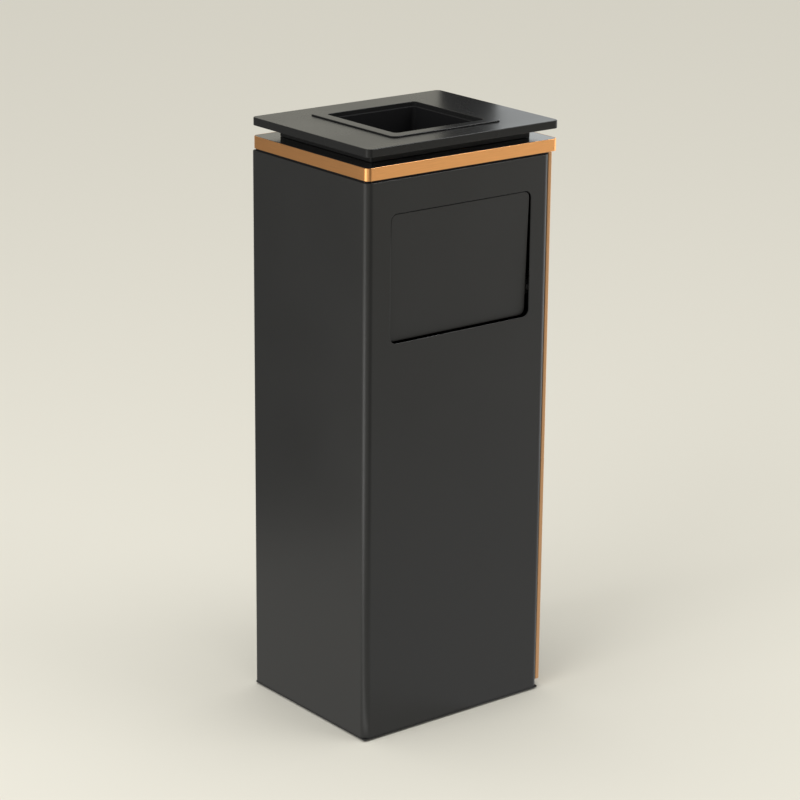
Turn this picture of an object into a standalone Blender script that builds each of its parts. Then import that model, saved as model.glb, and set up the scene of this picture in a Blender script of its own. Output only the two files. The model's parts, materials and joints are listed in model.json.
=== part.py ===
"""Square lobby ash bin: a folded black cabinet with a push flap in front and a door in its right-hand side,
a gold band round its deck, a lift-off top plate with a drop-in ash cup, and a bucket inside.

Millimetre values are turned into metres by MM. +Z is up and the front faces -Y.
The origin is the centre of the footprint, on the floor."""

import math

import bmesh
import bpy
from mathutils import Matrix, Vector

MM = 0.001
GAP = 0.3 * MM

# Overall sizes
WIDTH = 250 * MM
DEPTH = 198 * MM
SHEET = 1.2 * MM
SHELL_TOP = 600 * MM
DECK_TOP = 615.3 * MM
PLATE_TOP = 634.8 * MM

# Cabinet shell: three walls folded from one sheet, with narrow returns on the door side
LEFT = -WIDTH / 2
RIGHT = WIDTH / 2
FRONT = -DEPTH / 2
REAR = DEPTH / 2
SHELL_RIGHT = 114.7 * MM
SHELL_BOTTOM = 3.6 * MM
FRONT_BEND = 8 * MM
REAR_BEND = 4 * MM
FRONT_RETURN_END = -81 * MM
REAR_RETURN_END = 81 * MM

# Base plate and feet
FOOT_HEIGHT = 1.5 * MM
FOOT_RADIUS = 12 * MM
FOOT_INSET = 24 * MM
BASE_BOTTOM = FOOT_HEIGHT + GAP
BASE_THICK = 1.5 * MM
BASE_CORNER = 2 * MM
UPSTAND = 16 * MM

# Deck band, its inner frame and its fasteners
BAND_BOTTOM = 602.3 * MM
BAND_INSET = 0.5 * MM
BAND_SHEET = 0.7 * MM
BAND_CORNER = 6 * MM
BAND_EDGE = 0.6 * MM
DECK_OPENING = (203 * MM, 151 * MM)
FRAME_BOTTOM = 584 * MM
FRAME_OPENING = (207 * MM, 155 * MM)
STUD_RADIUS = 2 * MM
STUD_LENGTH = 9 * MM
STUD_PLACES = ((-113 * MM, -87 * MM), (107.7 * MM, -87 * MM), (-113 * MM, 87 * MM), (107.7 * MM, 87 * MM))
NUT_RADIUS = 4.05 * MM
NUT_HEIGHT = 3.2 * MM

# Lift-off top
PLATE_SIZE = (249 * MM, 200 * MM)
PLATE_THICK = 8.5 * MM
PLATE_BOTTOM = PLATE_TOP - PLATE_THICK
PLATE_CORNER = 6 * MM
PLATE_HOLE = 123 * MM
NECK_SIZE = (208.6 * MM, 156.6 * MM)
NECK_SKIRT = (201 * MM, 149 * MM)
NECK_DROP = 10 * MM

# Ash cup and the rim it hangs in
RIM_SIZE = 142.5 * MM
RIM_CORNER = 6.5 * MM
RIM_THICK = 1.4 * MM
RIM_BOTTOM = PLATE_TOP + 0.2 * MM
RIM_TOP = RIM_BOTTOM + RIM_THICK
RIM_OPENING = 117 * MM
RIM_OPENING_CORNER = 5 * MM
RIM_WALL = 1.5 * MM
LEDGE_BOTTOM = RIM_TOP - 7 * MM
LEDGE_OPENING = 112 * MM
CUP_LIP_SIZE = 116.2 * MM
CUP_SIZE = 110 * MM
CUP_BOTTOM = 580 * MM

# Push flap, hung from a rod behind the top edge of its opening
OPENING_LEFT = -95 * MM
OPENING_RIGHT = 88.9 * MM
OPENING_BOTTOM = 430 * MM
OPENING_TOP = 565 * MM
OPENING_CORNER = 8 * MM
FLAP_SIDE_GAP = 0.7 * MM
FLAP_RIGHT_GAP = 1.9 * MM
FLAP_TOP_GAP = 0.5 * MM
FLAP_BOTTOM_GAP = 1.0 * MM
ROD_SETBACK = 5.5 * MM
ROD_Z = 572 * MM
ROD_RADIUS = 1.5 * MM
FLAP_TILT = math.radians(1.9)
FLAP_FACE = 5.2 * MM
FLAP_RETURN = 15.8 * MM
EAR_RADIUS = 3.9 * MM
BRACKET_STANDOFF = 3.3 * MM
BRACKET_FOOT = 13 * MM
BUSH_BORE = 1.6 * MM
BUSH_RADIUS = 3.0 * MM
BUSH_FLANGE_RADIUS = 4.0 * MM
CLIP_RADIUS = 2.5 * MM
STOP_DROP = 112 * MM
STOP_TAB = (9 * MM, 15 * MM)

# Side door, hinged along its rear edge
DOOR_BOTTOM = 7 * MM
DOOR_TOP = 599.5 * MM
DOOR_REAR = 92.8 * MM
DOOR_FACE = 124 * MM
DOOR_INNER = 116.7 * MM
STRIP_FRONT = -90.3 * MM
STRIP_WRAP = 10 * MM
STRIP_INNER = 118.6 * MM
STRIP_RETURN = 9 * MM
STRIP_SHEET = 1.0 * MM
STRIP_BEND = 1.2 * MM
HINGE_X = 118.75 * MM
HINGE_Y = 96.0 * MM
HINGE_HEIGHTS = {"lower": 110 * MM, "upper": 490 * MM}
HINGE_HALF = 30 * MM
KNUCKLE_HALF = 9.7 * MM
KNUCKLE_RADIUS = 2.9 * MM
PIN_RADIUS = 1.5 * MM
LEAF_THICK = 1.2 * MM
LEAF_REACH = 82 * MM
RIVET_Y = 87.5 * MM
RIVET_RADIUS = 1.6 * MM
RIVET_HEAD = 2.8 * MM
RIVET_SPREAD = 20 * MM
CATCH_HEIGHTS = {"lower": 150 * MM, "upper": 450 * MM}
CATCH_HALF = 18 * MM
CATCH_SCREW_Y = -86 * MM
CATCH_FACE = SHELL_RIGHT + 0.1 * MM

# Bucket and its bail
BUCKET_BOTTOM_SIZE = (200 * MM, 132 * MM)
BUCKET_TOP_SIZE = (208 * MM, 140 * MM)
BUCKET_TOP = 336 * MM
BUCKET_CORNER = 14 * MM
BUCKET_SHEET = 1.0 * MM
RIM_ROLL = (2.2 * MM, 5 * MM)
BAIL_Z = 322 * MM
BAIL_REACH = 86 * MM
BAIL_WIRE = 2 * MM
BAIL_HALF_SPAN = 77 * MM
BAIL_BEND = 10 * MM
LUG_RADIUS = 9 * MM
GRIP_RADIUS = 7.5 * MM
GRIP_HALF = 42 * MM

SCENE = bpy.context.scene


def clear_scene():
    for leftover in list(bpy.data.objects):
        bpy.data.objects.remove(leftover, do_unlink=True)


def new_collection(name):
    made = bpy.data.collections.new(name)
    SCENE.collection.children.link(made)
    return made


clear_scene()
PARTS = new_collection("ash_bin")
CUTTERS = new_collection("cutters")


def material(name, colour, roughness, metallic):
    made = bpy.data.materials.new(name)
    made.use_nodes = True
    shader = made.node_tree.nodes["Principled BSDF"]
    shader.inputs["Base Color"].default_value = (*colour, 1.0)
    shader.inputs["Roughness"].default_value = roughness
    shader.inputs["Metallic"].default_value = metallic
    made.diffuse_color = (*colour, 1.0)
    return made


FINISHES = {
    "black_coat": ((0.035, 0.035, 0.036), 0.45, 0.0),
    "black_liner": ((0.020, 0.020, 0.021), 0.45, 0.0),
    "black_top": ((0.030, 0.031, 0.030), 0.25, 0.0),
    "gold": ((0.72, 0.42, 0.20), 0.30, 1.0),
    "zinc": ((0.55, 0.56, 0.57), 0.40, 1.0),
    "bucket_steel": ((0.50, 0.52, 0.53), 0.45, 1.0),
    "rubber": ((0.02, 0.02, 0.02), 0.85, 0.0),
    "nylon": ((0.80, 0.79, 0.74), 0.50, 0.0),
    "black_plastic": ((0.03, 0.03, 0.03), 0.55, 0.0),
}


def finish(obj, finish_name):
    """Gives the object a material of its own in one of the bin's finishes."""
    obj.data.materials.clear()
    obj.data.materials.append(material(obj.name, *FINISHES[finish_name]))


def smooth(obj, degrees=32):
    obj.data.shade_smooth()
    obj.data.set_sharp_from_angle(angle=math.radians(degrees))


def link(bm, name, home=PARTS):
    """The mesh becomes an object, as a part or, in the other collection, as a hidden tool shape."""
    mesh = bpy.data.meshes.new(name)
    bm.to_mesh(mesh)
    bm.free()
    obj = bpy.data.objects.new(name, mesh)
    home.objects.link(obj)
    if home is CUTTERS:
        obj.hide_render = True
        obj.display_type = "WIRE"
    return obj


def box_mesh(low, high, corner=0.0, axis=2, segments=5, taper=None):
    """A box between two corner points. Its four edges along axis are rounded, and taper scales its bottom."""
    low = Vector(low)
    high = Vector(high)
    centre = (low + high) / 2
    size = high - low
    bm = bmesh.new()
    bmesh.ops.create_cube(bm, size=1.0)
    for vert in bm.verts:
        vert.co = centre + Vector(side * length for side, length in zip(vert.co, size))
        if taper and vert.co.z < centre.z:
            vert.co.x *= taper[0]
            vert.co.y *= taper[1]
    if corner:
        upright = [e for e in bm.edges if abs((e.verts[0].co - e.verts[1].co)[axis]) > 0.9 * size[axis]]
        bmesh.ops.bevel(bm, geom=upright, offset=corner, segments=segments, profile=0.5, affect="EDGES")
    return bm


def block(name, low, high, home=PARTS, **rounding):
    return link(box_mesh(low, high, **rounding), name, home)


def centred(name, size, bottom, top, home=PARTS, **rounding):
    """A block centred on the bin's vertical axis."""
    half_x = size[0] / 2
    half_y = size[1] / 2
    return block(name, (-half_x, -half_y, bottom), (half_x, half_y, top), home, **rounding)


def rod(name, start, end, radius, home=PARTS, vertices=24):
    """A round bar from start to end, along any direction."""
    start = Vector(start)
    end = Vector(end)
    bm = bmesh.new()
    bmesh.ops.create_cone(bm, cap_ends=True, segments=vertices, radius1=radius, radius2=radius,
                          depth=(end - start).length)
    turn = Vector((0, 0, 1)).rotation_difference(end - start).to_matrix().to_4x4()
    bm.transform(Matrix.Translation((start + end) / 2) @ turn)
    return link(bm, name, home)


def combine(target, tool, operation):
    modifier = target.modifiers.new(f"{operation.lower()}_{tool.name}", "BOOLEAN")
    modifier.operation = operation
    modifier.object = tool
    return target


def cut(target, *tools):
    for tool in tools:
        combine(target, tool, "DIFFERENCE")


def weld(target, *tools):
    for tool in tools:
        combine(target, tool, "UNION")


def settle(obj):
    """Applies the object's modifiers while it is still upright, and removes the tool shapes they used."""
    bpy.context.view_layer.update()
    tools = [modifier.object for modifier in obj.modifiers]
    evaluated = obj.evaluated_get(bpy.context.evaluated_depsgraph_get())
    obj.data = bpy.data.meshes.new_from_object(evaluated)
    obj.modifiers.clear()
    for tool in tools:
        bpy.data.objects.remove(tool)


def tool_block(name, low, high, **rounding):
    return block(name, low, high, CUTTERS, **rounding)


def tool_centred(name, size, bottom, top, **rounding):
    return centred(name, size, bottom, top, CUTTERS, **rounding)


def tool_rod(name, start, end, radius, vertices=24):
    return rod(name, start, end, radius, CUTTERS, vertices)


def bent_path(corners, segments=6):
    """Points along straight runs joined by round bends. Each corner is (x, y, bend radius)."""
    points = []
    for index, (x, y, radius) in enumerate(corners):
        here = Vector((x, y))
        if not radius:
            points.append(here)
            continue
        back = (Vector(corners[index - 1][:2]) - here).normalized()
        ahead = (Vector(corners[index + 1][:2]) - here).normalized()
        half = back.angle(ahead) / 2
        centre = here + (back + ahead).normalized() * (radius / math.sin(half))
        first = here + back * (radius / math.tan(half)) - centre
        last = here + ahead * (radius / math.tan(half)) - centre
        sweep = first.angle_signed(last)
        for step in range(segments + 1):
            points.append(centre + Matrix.Rotation(-sweep * step / segments, 2) @ first)
    return points


def folded_sheet(name, corners, bottom, top, thickness, home=PARTS):
    """An upright sheet folded along a plan path, its outer face on the path and its thickness to the right."""
    bm = bmesh.new()
    verts = [bm.verts.new((*point, bottom)) for point in bent_path(corners)]
    edges = [bm.edges.new(pair) for pair in zip(verts, verts[1:])]
    raised = bmesh.ops.extrude_edge_only(bm, edges=edges)["geom"]
    bmesh.ops.translate(bm, verts=[v for v in raised if isinstance(v, bmesh.types.BMVert)],
                        vec=(0, 0, top - bottom))
    bm.normal_update()
    run = verts[1].co - verts[0].co
    outward = Vector((-run.y, run.x, 0))
    first_face = edges[0].link_faces[0]
    if first_face.normal.dot(outward) < 0:
        bmesh.ops.reverse_faces(bm, faces=bm.faces)
    mesh = bpy.data.meshes.new(name)
    bm.to_mesh(mesh)
    bm.free()
    obj = bpy.data.objects.new(name, mesh)
    home.objects.link(obj)
    solidify = obj.modifiers.new("sheet", "SOLIDIFY")
    solidify.thickness = thickness
    solidify.offset = -1
    solidify.use_even_offset = True
    return obj


def pivot(name, location, tilt=0.0):
    """An empty on a joint's axis, which the moving pieces hang from."""
    empty = bpy.data.objects.new(name, None)
    PARTS.objects.link(empty)
    empty.location = location
    empty.rotation_euler.x = tilt
    return empty


# ---------------------------------------------------------------- cabinet

def opening_cutter():
    return tool_block("flap_opening_tool", (OPENING_LEFT, FRONT - 10 * MM, OPENING_BOTTOM),
                      (OPENING_RIGHT, FRONT + 10 * MM, OPENING_TOP), corner=OPENING_CORNER, axis=1, segments=6)


def make_shell():
    shell = folded_sheet("shell", [
        (SHELL_RIGHT, FRONT_RETURN_END, 0),
        (SHELL_RIGHT, FRONT, FRONT_BEND),
        (LEFT, FRONT, FRONT_BEND),
        (LEFT, REAR, REAR_BEND),
        (SHELL_RIGHT, REAR, REAR_BEND),
        (SHELL_RIGHT, REAR_RETURN_END, 0),
    ], SHELL_BOTTOM, SHELL_TOP, SHEET)
    cut(shell, opening_cutter())
    for place, height in HINGE_HEIGHTS.items():
        for side in (-1, 1):
            z = height + side * RIVET_SPREAD
            cut(shell, tool_rod(f"rivet_hole_{place}_{side}", (SHELL_RIGHT - 5 * MM, RIVET_Y, z),
                                (SHELL_RIGHT + 5 * MM, RIVET_Y, z),
                                RIVET_RADIUS + 0.1 * MM))
    for place, height in CATCH_HEIGHTS.items():
        cut(shell, tool_rod(f"catch_hole_{place}", (SHELL_RIGHT - 5 * MM, CATCH_SCREW_Y, height),
                            (SHELL_RIGHT + 5 * MM, CATCH_SCREW_Y, height),
                            1.7 * MM))
    finish(shell, "black_coat")
    smooth(shell)


def make_base_plate():
    """Floor of the cabinet: a flat plate under the shell, with upstands welded on inside the walls."""
    plate = block("base_plate", (LEFT, FRONT, BASE_BOTTOM), (SHELL_RIGHT, REAR, BASE_BOTTOM + BASE_THICK),
                  corner=BASE_CORNER, segments=3)
    inner = SHEET + GAP
    low = BASE_BOTTOM + BASE_THICK / 2
    high = BASE_BOTTOM + BASE_THICK + UPSTAND
    side_end = SHELL_RIGHT - FRONT_BEND - 4 * MM
    walls = (
        ((LEFT + FRONT_BEND + 4 * MM, FRONT + inner), (side_end, FRONT + inner + SHEET)),
        ((LEFT + FRONT_BEND + 4 * MM, REAR - inner - SHEET), (side_end, REAR - inner)),
        ((LEFT + inner, FRONT + FRONT_BEND + 4 * MM), (LEFT + inner + SHEET, REAR - FRONT_BEND - 4 * MM)),
    )
    for index, (start, end) in enumerate(walls):
        weld(plate, tool_block(f"base_upstand_{index}", (*start, low), (*end, high)))
    finish(plate, "black_coat")
    smooth(plate)


def make_feet():
    x_places = {"left": LEFT + FOOT_INSET, "right": SHELL_RIGHT - FOOT_INSET}
    y_places = {"front": FRONT + FOOT_INSET, "rear": REAR - FOOT_INSET}
    for depth_name, y in y_places.items():
        for side_name, x in x_places.items():
            foot = rod(f"foot_{depth_name}_{side_name}", (x, y, 0), (x, y, FOOT_HEIGHT), FOOT_RADIUS)
            finish(foot, "rubber")
            smooth(foot)


def make_top_frame():
    """Inner ring that ties the walls together at the top and carries the deck."""
    low = (LEFT + SHEET + GAP, FRONT + SHEET + GAP, FRAME_BOTTOM)
    high = (SHELL_RIGHT - SHEET - GAP, REAR - SHEET - GAP, DECK_TOP - SHEET - GAP)
    frame = block("top_frame", low, high, corner=FRONT_BEND - SHEET)
    inset = Vector((SHEET, SHEET, 0))
    cut(frame, tool_block("top_frame_hollow", Vector(low) + inset - Vector((0, 0, 1 * MM)),
                          Vector(high) - inset - Vector((0, 0, SHEET)), corner=FRONT_BEND - 2 * SHEET))
    cut(frame, tool_centred("top_frame_opening", FRAME_OPENING, FRAME_BOTTOM, DECK_TOP, corner=4 * MM))
    for index, (x, y) in enumerate(STUD_PLACES):
        cut(frame, tool_rod(f"stud_hole_{index}", (x, y, DECK_TOP - 10 * MM), (x, y, DECK_TOP),
                            STUD_RADIUS + 0.4 * MM))
    finish(frame, "black_coat")
    smooth(frame)


def make_gold_band():
    """Gold strip closed into a ring, bonded round the frame's wall and flush with the deck."""
    low = Vector((LEFT + BAND_INSET, FRONT + BAND_INSET, BAND_BOTTOM))
    high = Vector((RIGHT, REAR - BAND_INSET, DECK_TOP))
    bm = box_mesh(low, high, corner=BAND_CORNER, segments=6)
    top_edges = [e for e in bm.edges if all(abs(v.co.z - DECK_TOP) < 0.01 * MM for v in e.verts)]
    bmesh.ops.bevel(bm, geom=top_edges, offset=BAND_EDGE, segments=2, profile=0.5, affect="EDGES")
    band = link(bm, "gold_band")
    wall = Vector((BAND_SHEET, BAND_SHEET, -1 * MM))
    cut(band, tool_block("band_hollow", low + wall, high - wall, corner=BAND_CORNER - BAND_SHEET, segments=6))
    finish(band, "gold")
    smooth(band)


def make_deck():
    """Flat black deck inside the gold band, with an opening for the neck and four weld studs underneath."""
    wall = BAND_SHEET + GAP
    side = BAND_INSET + wall
    bottom = DECK_TOP - SHEET
    deck = block("deck", (LEFT + side, FRONT + side, bottom), (RIGHT - wall, REAR - side, DECK_TOP),
                 corner=BAND_CORNER - wall, segments=6)
    cut(deck, tool_centred("deck_opening", DECK_OPENING, bottom - 1 * MM, DECK_TOP + 1 * MM, corner=4 * MM))
    for index, (x, y) in enumerate(STUD_PLACES):
        weld(deck, tool_rod(f"deck_stud_{index}", (x, y, bottom - STUD_LENGTH), (x, y, bottom + SHEET / 2),
                            STUD_RADIUS, vertices=16))
    finish(deck, "black_top")
    smooth(deck)


def make_deck_nuts():
    top = DECK_TOP - 2 * SHEET - 2 * GAP
    for (x, y), place in zip(STUD_PLACES, ("front_left", "front_right", "rear_left", "rear_right")):
        nut = rod(f"deck_nut_{place}", (x, y, top - NUT_HEIGHT), (x, y, top), NUT_RADIUS, vertices=6)
        cut(nut, tool_rod(f"nut_bore_{place}", (x, y, top - 2 * NUT_HEIGHT), (x, y, top + NUT_HEIGHT),
                          STUD_RADIUS + 0.15 * MM, vertices=16))
        finish(nut, "zinc")


# ---------------------------------------------------------------- push flap

ROD_Y = FRONT + ROD_SETBACK
EAR_OUTER = {"left": OPENING_LEFT + FLAP_SIDE_GAP, "right": OPENING_RIGHT - FLAP_RIGHT_GAP}
OUTWARD = {"left": -1, "right": 1}


def make_flap_brackets():
    """Angles behind the front wall, one beyond each end of the flap, with a nylon bush in each for the rod."""
    wall = FRONT + SHEET + GAP
    for side, outward in OUTWARD.items():
        inner_x = EAR_OUTER[side] + outward * BRACKET_STANDOFF
        outer_x = inner_x + outward * SHEET
        xs = sorted((inner_x, outer_x))
        bracket = block(f"flap_bracket_{side}", (xs[0], wall, ROD_Z - 11 * MM),
                        (xs[1], wall + 14 * MM, ROD_Z + 9 * MM))
        foot_xs = sorted((inner_x, inner_x + outward * BRACKET_FOOT))
        weld(bracket, tool_block(f"flap_bracket_foot_{side}", (foot_xs[0], wall, ROD_Z - 11 * MM),
                                 (foot_xs[1], wall + SHEET, ROD_Z + 9 * MM)))
        cut(bracket, tool_rod(f"flap_bracket_hole_{side}", (inner_x - 5 * MM, ROD_Y, ROD_Z),
                              (inner_x + 5 * MM, ROD_Y, ROD_Z), BUSH_RADIUS + 0.2 * MM))
        finish(bracket, "black_coat")

        flange_start = inner_x - outward * 1.6 * MM
        flange_end = inner_x - outward * GAP
        sleeve_end = outer_x + outward * 1.0 * MM
        bush = rod(f"flap_bush_{side}", (flange_start, ROD_Y, ROD_Z), (flange_end, ROD_Y, ROD_Z),
                   BUSH_FLANGE_RADIUS)
        weld(bush, tool_rod(f"flap_bush_sleeve_{side}", (flange_start + outward * 0.5 * MM, ROD_Y, ROD_Z),
                            (sleeve_end, ROD_Y, ROD_Z), BUSH_RADIUS))
        cut(bush, tool_rod(f"flap_bush_bore_{side}", (inner_x - 6 * MM, ROD_Y, ROD_Z),
                           (inner_x + 6 * MM, ROD_Y, ROD_Z), BUSH_BORE, vertices=32))
        finish(bush, "nylon")
        smooth(bush)


def make_flap():
    """Folded tray that fills the opening. Local origin on the rod's axis, so it is drawn upright and then tilted."""
    hanger = pivot("flap_pivot", (0, ROD_Y, ROD_Z), FLAP_TILT)
    left = EAR_OUTER["left"]
    right = EAR_OUTER["right"]
    top = OPENING_TOP - FLAP_TOP_GAP - ROD_Z
    bottom = OPENING_BOTTOM + FLAP_BOTTOM_GAP - ROD_Z
    corner = OPENING_CORNER - FLAP_SIDE_GAP
    relief = corner + 1 * MM
    back = -FLAP_FACE + FLAP_RETURN
    panel = block("flap_panel", (left, -FLAP_FACE, bottom), (right, -FLAP_FACE + SHEET, top),
                  corner=corner, axis=1, segments=6)
    returns = {
        "top": ((left + relief, top - SHEET), (right - relief, top)),
        "bottom": ((left + relief, bottom), (right - relief, bottom + SHEET)),
    }
    for edge, (low, high) in returns.items():
        weld(panel, tool_block(f"flap_return_{edge}", (low[0], -FLAP_FACE + SHEET / 2, low[1]),
                               (high[0], back, high[1])))
    for side, outward in OUTWARD.items():
        outer = EAR_OUTER[side]
        xs = sorted((outer, outer - outward * SHEET))
        weld(panel, tool_block(f"flap_return_{side}", (xs[0], -FLAP_FACE + SHEET / 2, bottom + relief),
                               (xs[1], back, top - relief)))
        weld(panel, tool_block(f"flap_ear_{side}", (xs[0], -EAR_RADIUS, top - relief - 2 * EAR_RADIUS),
                               (xs[1], EAR_RADIUS, EAR_RADIUS), corner=0.97 * EAR_RADIUS, axis=0))
        tab_xs = sorted((outer - outward * SHEET, outer + outward * STOP_TAB[0]))
        weld(panel, tool_block(f"flap_stop_tab_{side}", (tab_xs[0], -SHEET, -STOP_DROP - STOP_TAB[1] / 2),
                               (tab_xs[1], 0, -STOP_DROP + STOP_TAB[1] / 2)))
    cut(panel, tool_rod("flap_ear_bore", (left - 5 * MM, 0, 0), (right + 5 * MM, 0, 0), ROD_RADIUS + 0.1 * MM))
    settle(panel)
    panel.parent = hanger
    finish(panel, "black_coat")
    smooth(panel)
    make_flap_rod(hanger)
    make_stop_buffers(hanger)


def make_flap_rod(hanger):
    reach = BRACKET_STANDOFF + SHEET + 3.6 * MM
    bar = rod("flap_rod", (EAR_OUTER["left"] - reach, 0, 0), (EAR_OUTER["right"] + reach, 0, 0), ROD_RADIUS)
    bar.parent = hanger
    finish(bar, "zinc")
    smooth(bar)
    for side, outward in OUTWARD.items():
        start = EAR_OUTER[side] + outward * (BRACKET_STANDOFF + SHEET + 1.4 * MM)
        clip = rod(f"rod_clip_{side}", (start, 0, 0), (start + outward * 0.8 * MM, 0, 0), CLIP_RADIUS)
        cut(clip, tool_rod(f"rod_clip_bore_{side}", (start - 3 * MM, 0, 0), (start + 3 * MM, 0, 0),
                           ROD_RADIUS + 0.1 * MM))
        settle(clip)
        clip.parent = hanger
        finish(clip, "zinc")
        smooth(clip)


def make_stop_buffers(hanger):
    """Rubber buttons on the flap's tabs, which meet the wall's inner face when the flap is flush."""
    wall_face = -ROD_SETBACK + SHEET + 0.1 * MM
    for side, outward in OUTWARD.items():
        x = EAR_OUTER[side] + outward * (STOP_TAB[0] / 2 + 1.2 * MM)
        button = rod(f"stop_buffer_{side}", (x, wall_face, -STOP_DROP), (x, -SHEET - 0.2 * MM, -STOP_DROP),
                     3.2 * MM)
        button.parent = hanger
        finish(button, "rubber")
        smooth(button)


# ---------------------------------------------------------------- side door

def make_door():
    swing = pivot("door_pivot", (HINGE_X, HINGE_Y, 0))
    joggle = STRIP_SHEET + GAP
    wrap_end = STRIP_FRONT + STRIP_WRAP
    panel = folded_sheet("door_panel", [
        (DOOR_INNER, DOOR_REAR, 0),
        (DOOR_FACE, DOOR_REAR, 2 * MM),
        (DOOR_FACE, wrap_end + 1.6 * MM, 0),
        (DOOR_FACE - joggle, wrap_end + 0.4 * MM, 0),
        (DOOR_FACE - joggle, STRIP_FRONT + 1.8 * MM, 0),
    ], DOOR_BOTTOM, DOOR_TOP, SHEET)
    for edge, bottom in (("bottom", DOOR_BOTTOM), ("top", DOOR_TOP - SHEET)):
        weld(panel, tool_block(f"door_return_{edge}", (DOOR_INNER, wrap_end + 2 * MM, bottom),
                               (DOOR_FACE - SHEET / 2, DOOR_REAR - SHEET / 2, bottom + SHEET)))
    for place, height in HINGE_HEIGHTS.items():
        cut(panel, tool_block(f"door_hinge_window_{place}",
                              (DOOR_FACE - SHEET - 2.2 * MM, DOOR_REAR - 3 * MM, height - HINGE_HALF - 1 * MM),
                              (DOOR_FACE - SHEET, DOOR_REAR + 3 * MM, height + HINGE_HALF + 1 * MM)))
    hang_on(swing, panel)
    finish(panel, "black_coat")
    smooth(panel)

    strip = folded_sheet("pull_strip", [
        (DOOR_FACE, wrap_end, 0),
        (DOOR_FACE, STRIP_FRONT, STRIP_BEND),
        (STRIP_INNER, STRIP_FRONT, STRIP_BEND),
        (STRIP_INNER, STRIP_FRONT + STRIP_RETURN, 0),
    ], DOOR_BOTTOM, DOOR_TOP, STRIP_SHEET)
    hang_on(swing, strip)
    finish(strip, "gold")
    smooth(strip)
    return swing


def hang_on(empty, obj):
    """Parents a piece to a joint's empty, and leaves it where it is."""
    obj.parent = empty
    obj.matrix_parent_inverse = Matrix.Translation(-empty.location)


def make_hinges(swing):
    """Two loose-pin butt hinges: the fixed leaf on the shell's rear return, the moving leaf inside the door."""
    for place, height in HINGE_HEIGHTS.items():
        plate_x = SHELL_RIGHT + GAP
        fixed = block(f"hinge_fixed_leaf_{place}", (plate_x, LEAF_REACH, height - HINGE_HALF),
                      (plate_x + LEAF_THICK, HINGE_Y - KNUCKLE_RADIUS - 0.1 * MM, height + HINGE_HALF))
        spans = ((-HINGE_HALF, -KNUCKLE_HALF - GAP), (KNUCKLE_HALF + GAP, HINGE_HALF))
        for index, (low, high) in enumerate(spans):
            weld(fixed, tool_block(f"fixed_arm_{place}_{index}", (plate_x, LEAF_REACH + 4 * MM, height + low),
                                   (plate_x + LEAF_THICK, HINGE_Y, height + high)))
            weld(fixed, tool_rod(f"fixed_knuckle_{place}_{index}", (HINGE_X, HINGE_Y, height + low),
                                 (HINGE_X, HINGE_Y, height + high), KNUCKLE_RADIUS))
        bore = tool_rod(f"fixed_bore_{place}", (HINGE_X, HINGE_Y, height - 2 * HINGE_HALF),
                        (HINGE_X, HINGE_Y, height + 2 * HINGE_HALF), PIN_RADIUS + 0.1 * MM)
        cut(fixed, bore)
        for side in (-1, 1):
            z = height + side * RIVET_SPREAD
            cut(fixed, tool_rod(f"leaf_hole_{place}_{side}", (plate_x - 3 * MM, RIVET_Y, z),
                                (plate_x + 3 * MM, RIVET_Y, z), RIVET_RADIUS + 0.1 * MM))
            make_rivet(f"hinge_rivet_{place}_{'bottom' if side < 0 else 'top'}", z)
        finish(fixed, "zinc")
        smooth(fixed)

        leaf_x = DOOR_FACE - SHEET - GAP - LEAF_THICK
        moving = block(f"hinge_moving_leaf_{place}", (leaf_x, LEAF_REACH, height - HINGE_HALF),
                       (leaf_x + LEAF_THICK, HINGE_Y - KNUCKLE_RADIUS - 0.1 * MM, height + HINGE_HALF))
        weld(moving, tool_block(f"moving_arm_{place}", (leaf_x, LEAF_REACH + 4 * MM, height - KNUCKLE_HALF),
                                (leaf_x + LEAF_THICK, HINGE_Y, height + KNUCKLE_HALF)))
        weld(moving, tool_rod(f"moving_knuckle_{place}", (HINGE_X, HINGE_Y, height - KNUCKLE_HALF),
                              (HINGE_X, HINGE_Y, height + KNUCKLE_HALF), KNUCKLE_RADIUS))
        cut(moving, tool_rod(f"moving_bore_{place}", (HINGE_X, HINGE_Y, height - 2 * HINGE_HALF),
                             (HINGE_X, HINGE_Y, height + 2 * HINGE_HALF), PIN_RADIUS + 0.1 * MM))
        hang_on(swing, moving)
        finish(moving, "zinc")
        smooth(moving)

        pin_top = height + HINGE_HALF + 0.8 * MM
        pin = rod(f"hinge_pin_{place}", (HINGE_X, HINGE_Y, height - HINGE_HALF),
                  (HINGE_X, HINGE_Y, pin_top), PIN_RADIUS)
        weld(pin, tool_rod(f"hinge_pin_head_{place}", (HINGE_X, HINGE_Y, height + HINGE_HALF + GAP),
                           (HINGE_X, HINGE_Y, pin_top + 0.8 * MM), PIN_RADIUS + 0.9 * MM))
        finish(pin, "zinc")
        smooth(pin)


def make_rivet(name, z):
    """Blind rivet along X, with its head on the leaf and its upset end inside the shell."""
    head_x = SHELL_RIGHT + LEAF_THICK + 2 * GAP
    tail_x = SHELL_RIGHT - SHEET - GAP
    rivet = rod(name, (tail_x - 0.4 * MM, RIVET_Y, z), (head_x + 0.4 * MM, RIVET_Y, z), RIVET_RADIUS, vertices=16)
    weld(rivet, tool_rod(f"{name}_head", (head_x, RIVET_Y, z), (head_x + 0.9 * MM, RIVET_Y, z), RIVET_HEAD,
                         vertices=16))
    weld(rivet, tool_rod(f"{name}_tail", (tail_x - 1.5 * MM, RIVET_Y, z), (tail_x, RIVET_Y, z), 2.3 * MM,
                         vertices=16))
    finish(rivet, "zinc")
    smooth(rivet)


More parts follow.
